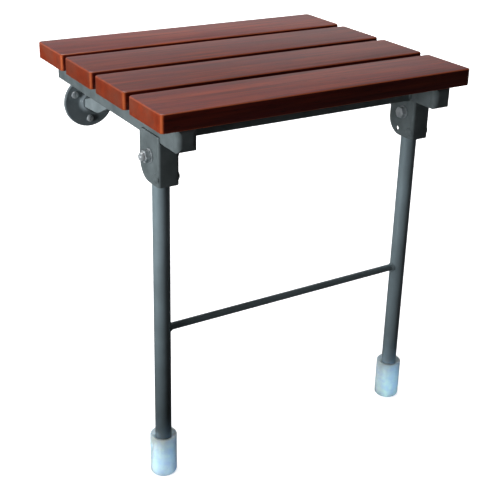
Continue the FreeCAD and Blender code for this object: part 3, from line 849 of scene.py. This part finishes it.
    @staticmethod
    def pair(name: str, pattern: Piece, spot: Point, facing: int) -> Piece:
        """Sets a copy of a pattern on each side of the seat and joins the two.

        Args:
            name: The pair's name.
            pattern: The piece to copy, which is thrown away.
            spot: The right copy's place. The left one mirrors it.
            facing: 1 where they point outwards, -1 where they point to each other.

        Returns:
            The pair as one object.
        """
        ways = {1: Along.PLUS_X, -1: Along.MINUS_X}
        places = [ways[side * facing].matrix((spot[0] * side, *spot[1:])) for side in SIDES.values()]
        return Bench.join(name, Bench.copies(pattern, places))

    @staticmethod
    def eased(node: str, name: str, width_mm: float, segments: int = 2, sharp: float = 40) -> Piece:
        """Copies a plate or forging and eases its crisp edges.

        Args:
            node: The piece of the frame that is copied.
            name: The copy's name.
            width_mm: How far the edges are rounded.
            segments: How many steps the rounding has.
            sharp: Edges that turn more than this, in degrees, are rounded.

        Returns:
            The eased copy.
        """
        copy = Bench.copy_of(frame["nodes"][node], name, Matrix.Identity(4))
        copy.parent = None
        for key in list(copy.keys()):
            del copy[key]
        Bench.take(copy)
        if copy.data.has_custom_normals:
            bpy.ops.mesh.customdata_custom_splitnormals_clear()
        bpy.ops.object.mode_set(mode="EDIT")
        bpy.ops.mesh.select_mode(type="EDGE")
        bpy.ops.mesh.select_all(action="SELECT")
        bpy.ops.mesh.remove_doubles(threshold=0.000002)
        bpy.ops.mesh.mark_sharp(clear=True)
        bpy.ops.mesh.dissolve_limited(angle_limit=math.radians(0.6))
        limit = math.radians(sharp)
        Bench.soften(lambda edge: edge.is_manifold and edge.calc_face_angle(0) > limit, width_mm, segments)
        return Bench.finish(copy)


def settle(piece: Piece, material: Material, body: Body, slot: Slot, *nodes: str) -> None:
    """Gives a finished piece its material and body, and hides the plain pieces of the frame that it stands
    for.

    Args:
        piece: The piece.
        material: Its material.
        body: The body that it moves with.
        slot: The record's slot that it takes its finish from. It is not used.
        nodes: The plain pieces of the frame that it stands for.
    """
    piece.data.materials.clear()
    piece.data.materials.append(material)
    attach(piece, body.value)
    if nodes:
        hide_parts(*nodes)
    LOG.info("%s: %d faces", piece.name, len(piece.data.polygons))


def dress(material: Material, *nodes: str) -> None:
    """Gives pieces of the frame that keep their shape a better material.

    Args:
        material: The material.
        nodes: The names of the pieces.
    """
    for node in nodes:
        data = frame["nodes"][node].data
        data.materials.clear()
        data.materials.append(material)
        LOG.info("%s: dressed", node)


# Sub-assemblies

@dataclass
class SlatSet:
    """Four planks across the rails."""

    names: tuple[str, ...] = ("rear_slat", "mid_rear_slat", "mid_front_slat", "front_slat")
    tones: tuple[float, ...] = (1.22, 0.97, 0.97, 1.12)
    corner_mm: float = 4.8
    arris_mm: float = 2.0
    under_mm: float = 1.2

    def plank(self, node: str) -> Piece:
        """Models one plank with rounded corners and arrises.

        Args:
            node: The slat whose place it takes.

        Returns:
            The plank.
        """
        low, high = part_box(node)
        piece = Bench.block("plank_" + node, low, high)
        Bench.soften(lambda edge: abs(edge.verts[0].co.z - edge.verts[1].co.z) > 10 * MM, self.corner_mm, 8)
        top, bottom = high.z - 1e-5, low.z + 1e-5
        Bench.soften(lambda edge: all(v.co.z > top for v in edge.verts), self.arris_mm, 6)
        Bench.soften(lambda edge: all(v.co.z < bottom for v in edge.verts), self.under_mm, 3)
        return Bench.finish(piece)

    def build(self, paints: Paints) -> None:
        """Models and varnishes the planks."""
        for node, wood in zip(self.names, paints.planks):
            settle(self.plank(node), wood, Body.SEAT, Slot.WOOD, node)


@dataclass
class SeatFrame:
    """Side rails, cross rails, end caps and plugs, with their welds and the slats' screws."""

    bead_mm: float = 1.9
    lug_bead_mm: float = 1.4
    ripple_mm: float = 1.6
    bead_stop_mm: float = 3.0
    lug_bead_stop_mm: float = 2.0
    screw_shank_mm: float = 2.5
    screw_length_mm: float = 8.0
    screw_head_mm: float = 4.5
    recess_mm: Point = (2.7, 0.55, 1.0)
    screw_setback_mm: float = 14.0

    def bead(self, length: float, radius_mm: float) -> Piece:
        """Models a weld bead up from the origin: a rod that swells and narrows with each ripple.

        Args:
            length: How long it is, in metres.
            radius_mm: Its radius.

        Returns:
            The bead.
        """
        count = max(2, round(length / MM / self.ripple_mm))
        pitch = length / MM / count
        profile: Profile = [(radius_mm * 0.45, 0.0)]
        for number in range(count):
            wander = 1 + 0.07 * math.sin(number * 2.3)
            profile += [(radius_mm * wander, pitch * (number + 0.45)),
                        (radius_mm * 0.86, pitch * (number + 0.95))]
        profile[-1] = (radius_mm * 0.45, pitch * count)
        return Bench.turned("bead", profile, 14)

    def rail_welds(self) -> Piece:
        """Models the beads between the cross rails and the side rails.

        Returns:
            The beads as one object.
        """
        beads = []
        inset, stop = self.bead_mm * 0.35 * MM, self.bead_stop_mm * MM
        for node in ("front_cross_rail", "rear_cross_rail"):
            low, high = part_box(node)
            ends = [(high.x - inset) * side for side in SIDES.values()]
            faces = (low.y - inset * 0.2, high.y + inset * 0.2)
            beads += Bench.copies(self.bead(high.z - low.z - 2 * stop, self.bead_mm),
                                  [Matrix.Translation((x, y, low.z + stop)) for x in ends for y in faces])
            beads += Bench.copies(self.bead(high.y - low.y - 2 * stop, self.bead_mm),
                                  [Along.PLUS_Y.matrix((x, low.y + stop, low.z + inset * 0.6)) for x in ends])
        return Bench.join("cross_rail_welds", beads)

    def lug_welds(self) -> Piece:
        """Models the beads between the hinge lugs and the rear cross rail.

        Returns:
            The beads as one object.
        """
        rail_low, rail_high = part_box("rear_cross_rail")
        low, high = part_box("right_hinge_lugs")
        stop = self.lug_bead_stop_mm * MM
        places = [Matrix.Translation((x * side, rail_high.y, rail_low.z + stop))
                  for side in SIDES.values() for x in (low.x, high.x)]
        bead = self.bead(high.z - rail_low.z - 2 * stop, self.lug_bead_mm)
        return Bench.join("hinge_lug_welds", Bench.copies(bead, places))

    def slat_screws(self) -> Piece:
        """Models the screws under the slats, each with a cross recess in its domed head.

        Returns:
            The screws as one object.
        """
        rail_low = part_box("left_side_rail")[0].z
        drop = (rail_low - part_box("slat_screws")[0].z) / MM
        shank, radius = self.screw_shank_mm, self.screw_head_mm
        # The shank, then the head from its seat to its crown.
        profile = [(shank, -self.screw_length_mm), (shank, 0.0), (radius, 0.0), (radius, drop * 0.45),
                   (radius * 0.90, drop * 0.75), (radius * 0.66, drop * 0.94), (radius * 0.36, drop)]
        screw = Bench.turned("slat_screw", profile, 32, Along.MINUS_Z.matrix())
        long, wide, deep = self.recess_mm
        centre = Vector((0, 0, -drop * MM))
        for half in (Vector((long, wide, deep)) * MM, Vector((wide, long, deep)) * MM):
            Bench.combine(screw, Bench.block("recess", centre - half, centre + half), "DIFFERENCE")
        Bench.finish(screw)
        x, places = middle("right_side_rail").x, []
        for side in SIDES.values():
            for node in SlatSet.names:
                y = middle(node).y - self.screw_setback_mm * MM
                # Each screw stops at an angle of its own, which follows from its place.
                places.append(Matrix.Translation((x * side, y, rail_low)) @ Matrix.Rotation(70 * y, 4, "Z"))
        return Bench.join("slat_fixing_screws", Bench.copies(screw, places))

    def build(self, paints: Paints) -> None:
        """Dresses the rails and models the welds and screws.

        Args:
            paints: The finishes.
        """
        dress(paints.frame, "left_side_rail", "right_side_rail", "front_cross_rail", "rear_cross_rail",
              "left_rail_front_cap", "right_rail_front_cap")
        dress(paints.black, "left_rail_rear_plug", "right_rail_rear_plug")
        settle(self.rail_welds(), paints.frame, Body.SEAT, Slot.STEEL)
        settle(self.lug_welds(), paints.frame, Body.SEAT, Slot.STEEL)
        settle(self.slat_screws(), paints.zinc, Body.SEAT, Slot.BRIGHT, "slat_screws")


@dataclass
class Hexagons:
    """Bolts and nuts with a hexagon whose corners are chamfered."""

    across_flats_mm: float = 13.0
    bolt_mm: float = 4.0
    bolt_end_mm: float = 0.7
    bore_play_mm: float = 0.1

    def blank(self, name: str, low_mm: float, high_mm: float, both: bool) -> Piece:
        """Crosses a hexagonal prism with a turned body, which cuts its corners at one or both ends.

        Args:
            name: The piece's name.
            low_mm: The height of its lower end.
            high_mm: The height of its upper end.
            both: Whether the lower end is cut as well as the upper one.

        Returns:
            The hexagon.
        """
        corner = self.across_flats_mm / math.sqrt(3)
        flat = self.across_flats_mm / 2 * 0.97
        drop = (corner - flat) * 0.55
        wide = corner + 0.3
        Bench.clear()
        bpy.ops.mesh.primitive_cylinder_add(vertices=6, radius=corner * MM, depth=(high_mm - low_mm) * MM,
                                            location=(0, 0, (low_mm + high_mm) / 2 * MM))
        piece = Bench.named(name)
        bpy.ops.object.transform_apply(location=True)
        # The body is a little wider than the hexagon and narrows at the ends that are cut.
        profile = [(flat, low_mm), (wide, low_mm + drop)] if both else [(wide, low_mm)]
        profile += [(wide, high_mm - drop), (flat, high_mm)]
        return Bench.combine(piece, Bench.turned("chamfer", profile, 60), "INTERSECT")

    def bolt(self, name: str, head_mm: float, grip_mm: float) -> Piece:
        """Models a bolt that points along +Z from its head's seat, with a chamfered head and end.

        Args:
            name: The bolt's name.
            head_mm: How thick the head is.
            grip_mm: How long the shank is.

        Returns:
            The bolt.
        """
        head = self.blank(name, -head_mm, 0, both=False)
        head.data.transform(Matrix.Translation((0, 0, -head_mm * MM)) @ Matrix.Rotation(math.pi, 4, "X"))
        radius = self.bolt_mm
        profile = [(radius, -0.5), (radius, grip_mm - 0.8), (radius - self.bolt_end_mm, grip_mm)]
        shank = Bench.turned(name + "_shank", profile, 32)
        return Bench.finish(Bench.join(name, [head, shank]), sharp_angle=25)

    def dome_nut(self, name: str, height_mm: float, dome_mm: float) -> Piece:
        """Models a cap nut: a chamfered hexagon under a smooth dome, seated at height nought.

        Args:
            name: The nut's name.
            height_mm: How tall the hexagon is.
            dome_mm: The dome's radius.

        Returns:
            The nut.
        """
        base = self.blank(name, 0, height_mm, both=True)
        profile = [(dome_mm, height_mm - 0.6), *arc((0, height_mm), (dome_mm, dome_mm), range(0, 81, 10)),
                   (dome_mm * 0.08, height_mm + dome_mm)]
        dome = Bench.turned(name + "_dome", profile, 40)
        return Bench.finish(Bench.join(name, [base, dome]), sharp_angle=25)

    def plain_nut(self, name: str, height_mm: float) -> Piece:
        """Models a hexagon nut chamfered at both ends, with its bore open round the bolt.

        Args:
            name: The nut's name.
            height_mm: How tall it is.

        Returns:
            The nut.
        """
        radius = self.bolt_mm + self.bore_play_mm
        nut = self.blank(name, 0, height_mm, both=True)
        bore = Bench.turned("bore", [(radius, -1), (radius, height_mm + 1)], 32)
        return Bench.finish(Bench.combine(nut, bore, "DIFFERENCE"), sharp_angle=25)


@dataclass
class LegBrackets:
    """Bent plates under the side rails, with their pivot bolts, cap nuts, washers and stop rivets."""

    edge_mm: float = 0.5
    washer_mm: float = 1.6
    washer_edge_mm: float = 0.25
    head_mm: float = 5.3
    nut_height_mm: float = 6.5
    dome_mm: float = 5.6
    hexagons: Hexagons = field(default_factory=Hexagons)

    def pivots(self) -> tuple[Piece, Piece]:
        """Models the two bolts and the two cap nuts.

        Returns:
            The joined bolts and the joined nuts.
        """
        low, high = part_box("right_leg_bracket")
        washer = self.washer_mm * MM
        inner, outer = low.x - washer, high.x + washer
        _, y, z = middle("leg_pivot_bolts")
        grip = (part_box("leg_pivot_bolts")[1].x - inner) / MM
        bolt = self.hexagons.bolt("leg_bolt", self.head_mm, grip)
        nut = self.hexagons.dome_nut("cap_nut", self.nut_height_mm, self.dome_mm)
        return (Bench.pair("leg_pivot_bolt_pair", bolt, (inner, y, z), 1),
                Bench.pair("leg_cap_nut_pair", nut, (outer, y, z), 1))

    def build(self, paints: Paints) -> None:
        """Models and dresses the brackets and their fasteners.

        Args:
            paints: The finishes.
        """
        for word in SIDES:
            node = word + "_leg_bracket"
            plate = Bench.eased(node, word + "_bent_plate", self.edge_mm)
            settle(plate, paints.frame, Body.SEAT, Slot.STEEL, node)
        bolts, nuts = self.pivots()
        settle(bolts, paints.zinc, Body.SEAT, Slot.BRIGHT, "leg_pivot_bolts")
        settle(nuts, paints.zinc, Body.SEAT, Slot.BRIGHT, "leg_dome_nuts")
        washers = Bench.eased("leg_pivot_washers", "pivot_washer_set", self.washer_edge_mm)
        settle(washers, paints.zinc, Body.SEAT, Slot.BRIGHT, "leg_pivot_washers")
        dress(paints.frame, "stop_rivets")


@dataclass
class LegFrame:
    """Two tubes joined by a bar, with their pivot sleeves, top plugs and feet."""

    rim_mm: float = 1.2
    sole_edge_mm: float = 4.0
    wall_end_mm: float = 9.0
    recess_mm: float = 13.5
    recess_depth_mm: float = 7.0
    bore_mm: float = 10.15
    bore_floor_mm: float = 6.0
    # Radius and height of the rings under the foot, from the middle outwards.
    sole: tuple[tuple[float, float], ...] = ((1.0, 0.9), (3.6, 0.9), (4.1, 0.0), (6.9, 0.0), (7.4, 0.9),
                                             (8.6, 0.9), (9.1, 0.0))
    # How far a weld collar stands over the bar, and how far from the tube's side.
    collar: tuple[tuple[float, float], ...] = ((1.7, 0.0), (1.6, 1.2), (1.05, 1.9), (0.95, 2.5), (0.45, 3.1),
                                               (0.35, 3.6), (0.02, 4.1))
    collar_depth_mm: float = 1.6

    def foot(self) -> Piece:
        """Models a foot sleeve with a soft rim, a shallow recess and a ringed sole.

        Returns:
            The foot, its sole at height nought.
        """
        half = half_size("right_foot")
        outer, tall = half.x, 2 * half.z
        edge, rim, inner = self.sole_edge_mm, self.rim_mm, self.recess_mm
        shelf = tall - self.recess_depth_mm
        # The sole and its rounded edge, the wall, the rim, and down inside to the bore's floor.
        profile = [*self.sole, *arc((outer - edge, edge), (edge, edge), range(-90, 1, 15)),
                   (outer, self.wall_end_mm), (outer, tall - self.wall_end_mm),
                   *arc((outer - rim, tall - rim), (rim, rim), range(0, 91, 15)),
                   (inner + 0.7, tall), (inner + 0.2, tall - 0.2), (inner, tall - 0.7),
                   (inner - 0.2, shelf + 0.7), (inner - 0.9, shelf), (self.bore_mm, shelf),
                   (self.bore_mm, self.bore_floor_mm), (1.0, self.bore_floor_mm)]
        return Bench.turned("foot_sleeve", profile, 72)

    def bar_collars(self) -> Piece:
        """Models the weld collars where the bar meets the tubes.

        Returns:
            The two collars as one object.
        """
        radius = half_size("leg_cross_bar").z
        _, y, z = middle("leg_cross_bar")
        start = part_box("right_leg_tube")[0].x + self.collar_depth_mm * MM
        profile = [(radius + proud, height) for proud, height in self.collar]
        collar = Bench.turned("bar_collar", profile, 32)
        return Bench.pair("cross_bar_weld_collars", collar, (start, y, z), -1)

    def build(self, paints: Paints) -> None:
        """Models the feet and collars and dresses the tubes.

        Args:
            paints: The finishes.
        """
        dress(paints.tube, "left_leg_tube", "right_leg_tube", "leg_cross_bar", "leg_pivot_sleeves")
        dress(paints.black, "leg_top_plugs")
        pattern = self.foot()
        for word in SIDES:
            node = word + "_foot"
            x, y, _ = middle(node)
            place = Matrix.Translation((x, y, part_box(node)[0].z))
            foot = Bench.copy_of(pattern, word + "_foot_sleeve", place)
            settle(foot, paints.foot, Body.LEGS, Slot.FOOT, node)
        bpy.data.objects.remove(pattern)
        settle(self.bar_collars(), paints.tube, Body.LEGS, Slot.STEEL)


@dataclass
class WallMounts:
    """Flanges, arms and slotted screws that stay on the wall."""

    rim_mm: float = 1.5
    dish_mm: float = 0.45
    fillet_mm: tuple[float, float] = (4.6, 4.4)
    arm_edge_mm: float = 1.6
    screw_circle_mm: float = 24.5
    screw_angles: tuple[int, ...] = (30, 150, 270)
    head_mm: float = 5.0
    head_height_mm: float = 3.2
    neck_mm: float = 2.5
    slot_mm: float = 1.8
    slot_depth_mm: float = 1.5
    pitch_mm: float = 2.2
    thread_mm: float = 2.3
    thread_start_mm: float = -23.2
    thread_turns: int = 8

    def flange(self) -> Piece:
        """Models a cast disc with a soft rim, a faint dish and a boss that flows out of its face.

        Returns:
            The flange, without its holes, which the screws fill.
        """
        half = half_size("right_wall_flange")
        outer, thick, total = half.x, half.y, 2 * half.y
        rim, floor = self.rim_mm, thick - self.dish_mm
        # From the wall: the edge, the rounded rim, the dish, the fillet and the boss's top.
        profile = [(outer - 0.6, 0.0), (outer, 0.6), (outer, thick - rim),
                   *arc((outer - rim, thick - rim), (rim, rim), range(18, 91, 18)),
                   (outer - 3.2, thick - 0.15), (outer - 5.0, floor), (17.5, floor),
                   *arc((17.0, thick + 3.9), self.fillet_mm, range(-90, -171, -16)),
                   (12.0, total - 0.8), (11.4, total - 0.15), (10.6, total)]
        return Bench.turned("cast_flange", profile, 96)

    def screw(self) -> Piece:
        """Models a slotted pan-head screw that points down from its head's seat, with a rolled thread.

        Returns:
            The screw.
        """
        radius, tall, neck, root = self.head_mm, self.head_height_mm, self.neck_mm, self.thread_mm - 0.55
        # The point, the thread's root, the neck, then the head from its seat to its crown.
        profile = [(0.3, -27.0), (0.9, -25.6), (root, -23.0), (root, -5.2), (neck, -4.8), (neck, -0.05),
                   (radius, 0.0), (radius, tall * 0.38), (radius * 0.97, tall * 0.58),
                   (radius * 0.88, tall * 0.78), (radius * 0.70, tall * 0.92), (radius * 0.42, tall * 0.985),
                   (radius * 0.12, tall)]
        shape = Bench.turned("wall_screw", profile, 40)
        half = Vector((self.slot_mm / 2, radius * 1.3, self.slot_depth_mm)) * MM
        centre = Vector((0, 0, tall * MM))
        Bench.combine(shape, Bench.block("slot", centre - half, centre + half), "DIFFERENCE")
        return Bench.finish(Bench.join("wall_screw", [shape, self.thread()]), sharp_angle=28)

    def thread(self) -> Piece:
        """Models the thread's ridge, wound up from a small triangle by a screw modifier.

        Returns:
            The ridge.
        """
        Bench.clear()
        bpy.ops.mesh.primitive_circle_add(vertices=3, radius=0.5 * MM)
        ridge = Bench.named("thread_ridge")
        bpy.ops.object.mode_set(mode="EDIT")
        root = self.thread_mm - 0.75
        corners = ((root, -0.55), (root, 0.55), (self.thread_mm, 0.0))
        mesh = bmesh.from_edit_mesh(ridge.data)
        for vertex, (radius, height) in zip(mesh.verts, corners):
            vertex.co = Vector((radius, 0, height + self.thread_start_mm)) * MM
        bmesh.update_edit_mesh(ridge.data)
        bpy.ops.object.mode_set(mode="OBJECT")
        wind = ridge.modifiers.new("wind", "SCREW")
        wind.axis = "Z"
        wind.screw_offset = self.pitch_mm * MM
        wind.iterations = self.thread_turns
        wind.steps = wind.render_steps = 20
        bpy.ops.object.modifier_apply(modifier=wind.name)
        bpy.ops.object.mode_set(mode="EDIT")
        Bench.pick(lambda edge: edge.is_boundary)
        bpy.ops.mesh.fill_holes(sides=0)
        return Bench.finish(ridge)

    def screws(self, word: str, pattern: Piece) -> Piece:
        """Sets three screws round a flange, each slot at an angle of its own.

        Args:
            word: The side.
            pattern: The screw, which stays.

        Returns:
            The three screws as one object.
        """
        x, face, z = middle(word + "_wall_flange")
        places = []
        for number, angle in enumerate(self.screw_angles):
            across, up = arc((x / MM, z / MM), (self.screw_circle_mm, self.screw_circle_mm), [angle])[0]
            turn = Matrix.Rotation(math.radians(angle + 35 * number), 4, "Z")
            places.append(Along.MINUS_Y.matrix((across * MM, face, up * MM)) @ turn)
        return Bench.join(word + "_slotted_screws", Bench.copies(pattern, places, keep=True))

    def build(self, paints: Paints) -> None:
        """Models and dresses the flanges, arms and screws.

        Args:
            paints: The finishes.
        """
        flange, screw = self.flange(), self.screw()
        for word in SIDES:
            node, arm_node = word + "_wall_flange", word + "_hinge_arm"
            x, _, z = middle(node)
            back = Along.MINUS_Y.matrix((x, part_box(node)[1].y, z))
            disc = Bench.copy_of(flange, word + "_cast_flange", back)
            settle(disc, paints.cast, Body.WALL, Slot.DARK, node)
            arm = Bench.eased(arm_node, word + "_forged_arm", self.arm_edge_mm, 4, 45)
            settle(arm, paints.forged, Body.WALL, Slot.STEEL, arm_node)
            settle(self.screws(word, screw), paints.zinc, Body.WALL, Slot.BRIGHT, word + "_wall_screws")
        for pattern in (flange, screw):
            bpy.data.objects.remove(pattern)


@dataclass
class HingeSet:
    """Lugs on the rear rail, with their bolts, nuts and washers."""

    edge_mm: float = 0.6
    head_mm: float = 5.3
    nut_mm: float = 6.5
    bolt_proud_mm: float = 1.5
    hexagons: Hexagons = field(default_factory=Hexagons)

    def build(self, paints: Paints) -> None:
        """Models and dresses the hinge fittings.

        Args:
            paints: The finishes.
        """
        for word in SIDES:
            lugs = Bench.eased(word + "_hinge_lugs", word + "_lug_pair", self.edge_mm)
            settle(lugs, paints.frame, Body.SEAT, Slot.STEEL, word + "_hinge_lugs")
        low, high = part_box("right_hinge_lugs")
        _, y, z = middle("hinge_bolts")
        grip = (high.x - low.x) / MM + self.nut_mm + self.bolt_proud_mm
        bolt = self.hexagons.bolt("hinge_bolt", self.head_mm, grip)
        nut = self.hexagons.plain_nut("hinge_nut", self.nut_mm)
        for name, pattern, x, node in (("hinge_bolt_pair", bolt, high.x, "hinge_bolts"),
                                       ("hinge_nut_pair", nut, low.x, "hinge_nuts")):
            settle(Bench.pair(name, pattern, (x, y, z), -1), paints.zinc, Body.SEAT, Slot.BRIGHT, node)
        dress(paints.black, "hinge_washers")


# Camera and studio

@dataclass
class PhotoCamera:
    """The camera at the photograph's viewing angle. Its angles are in degrees, its lens in pixels."""

    place: Point = (-0.6323, -1.2573, 0.4049)
    yaw: float = 32.35
    pitch: float = 22.47
    roll: float = 1.73
    focal_px: float = 985.9
    frame_px: float = 500.0
    centre_px: tuple[float, float] = (258.0, 202.0)
    sensor_mm: float = 36.0

    def build(self) -> None:
        """Makes the camera and hands it to the scene."""
        yaw, pitch, roll = (math.radians(angle) for angle in (self.yaw, self.pitch, self.roll))
        ahead = Vector((math.sin(yaw) * math.cos(pitch), math.cos(yaw) * math.cos(pitch), -math.sin(pitch)))
        level = Vector((math.cos(yaw), -math.sin(yaw), 0))
        above = level.cross(ahead)
        right = math.cos(roll) * level + math.sin(roll) * above
        up = math.cos(roll) * above - math.sin(roll) * level
        data = bpy.data.cameras.new("photo_camera")
        data.sensor_width = self.sensor_mm
        data.lens = self.focal_px / self.frame_px * self.sensor_mm
        data.shift_x = (self.frame_px / 2 - self.centre_px[0]) / self.frame_px
        data.shift_y = (self.centre_px[1] - self.frame_px / 2) / self.frame_px
        camera = bpy.data.objects.new("photo_camera", data)
        bpy.context.scene.collection.objects.link(camera)
        turn = Matrix((right, up, -ahead)).transposed().to_4x4()
        camera.matrix_world = Matrix.Translation(self.place) @ turn
        bpy.context.scene.camera = camera


@dataclass(frozen=True)
class Lamp:
    """An oblong soft lamp. Its sides are in metres, its power in watts, and its spread in degrees."""

    name: str
    place: Point
    sides: tuple[float, float]
    power: float
    colour: str = "#ffffff"
    aim: Point = (0.0, -0.22, -0.1)
    spread: float = 180.0
    in_gloss: bool = False

    def hang(self) -> None:
        """Adds the lamp, turned to its aim."""
        data = bpy.data.lights.new(self.name, "AREA")
        data.shape = "RECTANGLE"
        data.size, data.size_y = self.sides
        data.energy = self.power
        data.color = linear(self.colour)[:3]
        data.spread = math.radians(self.spread)
        lamp = bpy.data.objects.new(self.name, data)
        bpy.context.scene.collection.objects.link(lamp)
        lamp.location = self.place
        lamp.rotation_euler = (Vector(self.aim) - Vector(self.place)).to_track_quat("-Z", "Y").to_euler()
        lamp.visible_glossy = self.in_gloss


@dataclass
class Studio:
    """A pale floor, a white surround and soft lamps."""

    fill: float = 0.07
    mirror_front: float = 0.04
    mirror_back: float = 0.37
    mirror_left: float = 4.0
    glow_near: float = 0.80
    glow_far: float = 1.0
    glow_span: tuple[float, float] = (0.5, 1.3)
    floor_half: float = 6.0
    floor_gap: float = 0.0005
    # The strip at the feet has a narrow grid, so that it lights little else.
    lamps: tuple[Lamp, ...] = (
        Lamp("left_softbox", (-2.2, -0.44, 0.10), (0.9, 0.7), 56.0, "#f6fbff"),
        Lamp("top_softbox", (-0.2, 0.55, 2.0), (1.6, 1.6), 32.0, in_gloss=True),
        Lamp("back_softbox", (1.7, 1.8, 0.8), (1.5, 1.5), 22.0),
        Lamp("foot_light", (-0.40, -1.5, -0.365), (0.84, 0.03), 0.30, "#bcdcff", (0.22, -0.33, -0.376), 7.0))

    @staticmethod
    def seen(tree: Tree) -> Node:
        """Tells the rays that the eye follows, straight on or through clear things.

        Args:
            tree: The node tree.

        Returns:
            One for such a ray, nought for any other.
        """
        path = add_node(tree, Kind.RAYS)
        return add_node(tree, Kind.MATH, {"operation": "MAXIMUM"},
                        {0: path.outputs["Is Camera Ray"], 1: path.outputs["Is Transmission Ray"]})

    def surround(self) -> None:
        """Makes the world: white to the camera, and to gloss a soft panel at the left and pale behind."""
        world = bpy.data.worlds.new("studio")
        bpy.context.scene.world = world
        world.use_nodes = True
        tree = world.node_tree
        tree.nodes.clear()
        way = add_node(tree, Kind.COORDINATES).outputs["Generated"]
        x, y, z = add_node(tree, Kind.SEPARATE, links={0: way}).outputs
        clouds = add_node(tree, Kind.NOISE, {"Scale": 5.0, "Detail": 2.0}, {"Vector": way})
        ends = ("From Min", "From Max", "To Min", "To Max")
        behind, uneven, high, aside, left, low = (
            add_node(tree, Kind.RANGE, dict(zip(ends, values)), {"Value": source}) for source, values in (
                (y, (-0.2, 0.8, self.mirror_front, self.mirror_back)),
                (clouds, (0.35, 0.65, 0.85, 1.15)),
                (z, (0.21, 0.29, 1.1, 0.72)),
                (x, (0.55, 0.70, 1.05, 0.72)),
                (x, (-0.86, -0.97, 0.0, self.mirror_left)),
                (z, (0.05, -0.05, 0.0, 1.0))))
        rear = uneven
        for share in (high, aside, behind):
            rear = add_node(tree, Kind.MATH, {"operation": "MULTIPLY"}, {0: share, 1: rear})
        panel = add_node(tree, Kind.MATH, {"operation": "MULTIPLY"}, {0: left, 1: low})
        room = add_node(tree, Kind.MATH, {"operation": "ADD"}, {0: rear, 1: panel})
        glossy = add_node(tree, Kind.RAYS).outputs["Is Glossy Ray"]
        unseen = add_node(tree, Kind.MIX, {2: self.fill}, {0: glossy, 3: room})
        strength = add_node(tree, Kind.MIX, {3: 1.0}, {0: self.seen(tree), 2: unseen})
        light = add_node(tree, Kind.BACKGROUND, {"Color": (1, 1, 1, 1)}, {"Strength": strength})
        add_node(tree, Kind.WORLD_OUTPUT, links={"Surface": light})

    def floor(self) -> None:
        """Makes the pale floor, which glows to the camera and keeps the shadow."""
        Bench.clear()
        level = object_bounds()[0].z - self.floor_gap
        bpy.ops.mesh.primitive_plane_add(size=self.floor_half * 2, location=(0, 0, level))
        floor = Bench.named("studio_floor")
        material = bpy.data.materials.new("pale_studio_floor")
        material.use_nodes = True
        tree = material.node_tree
        tree.nodes.clear()
        pale, dim = (add_node(tree, Kind.DIFFUSE, {"Color": linear(code)}) for code in ("#f4f4f4", "#4c4c4c"))
        distance = add_node(tree, Kind.VECTOR, {"operation": "LENGTH"}, {0: object_place(tree)})
        rising = add_node(tree, Kind.RANGE, {"From Min": self.glow_span[0], "From Max": self.glow_span[1],
                                             "To Min": self.glow_near, "To Max": self.glow_far},
                          {"Value": distance.outputs["Value"]})
        glow = add_node(tree, Kind.EMISSION, {"Color": (1, 1, 1, 1)}, {"Strength": rising})
        lit = add_node(tree, Kind.ADD_SHADER, links={0: pale, 1: glow})
        both = add_node(tree, Kind.MIX_SHADER, links={0: self.seen(tree), 1: dim, 2: lit})
        add_node(tree, Kind.OUTPUT, links={"Surface": both})
        floor.data.materials.append(material)
        floor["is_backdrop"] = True

    def build(self) -> None:
        """Sets up the view transform, the surround, the floor and the lamps."""
        bpy.context.scene.view_settings.view_transform = "Standard"
        self.surround()
        self.floor()
        for lamp in self.lamps:
            lamp.hang()


def main() -> None:
    """Builds the seat's looks piece by piece, then the studio."""
    logging.basicConfig(level=logging.INFO, format="%(name)s %(message)s")
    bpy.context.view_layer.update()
    slats = SlatSet()
    paints = Paints.mix(slats.tones)
    for assembly in (slats, SeatFrame(), LegBrackets(), LegFrame(), WallMounts(), HingeSet()):
        assembly.build(paints)
    PhotoCamera().build()
    Studio().build()
    Bench.clear()


if __name__ == "__main__":
    main()
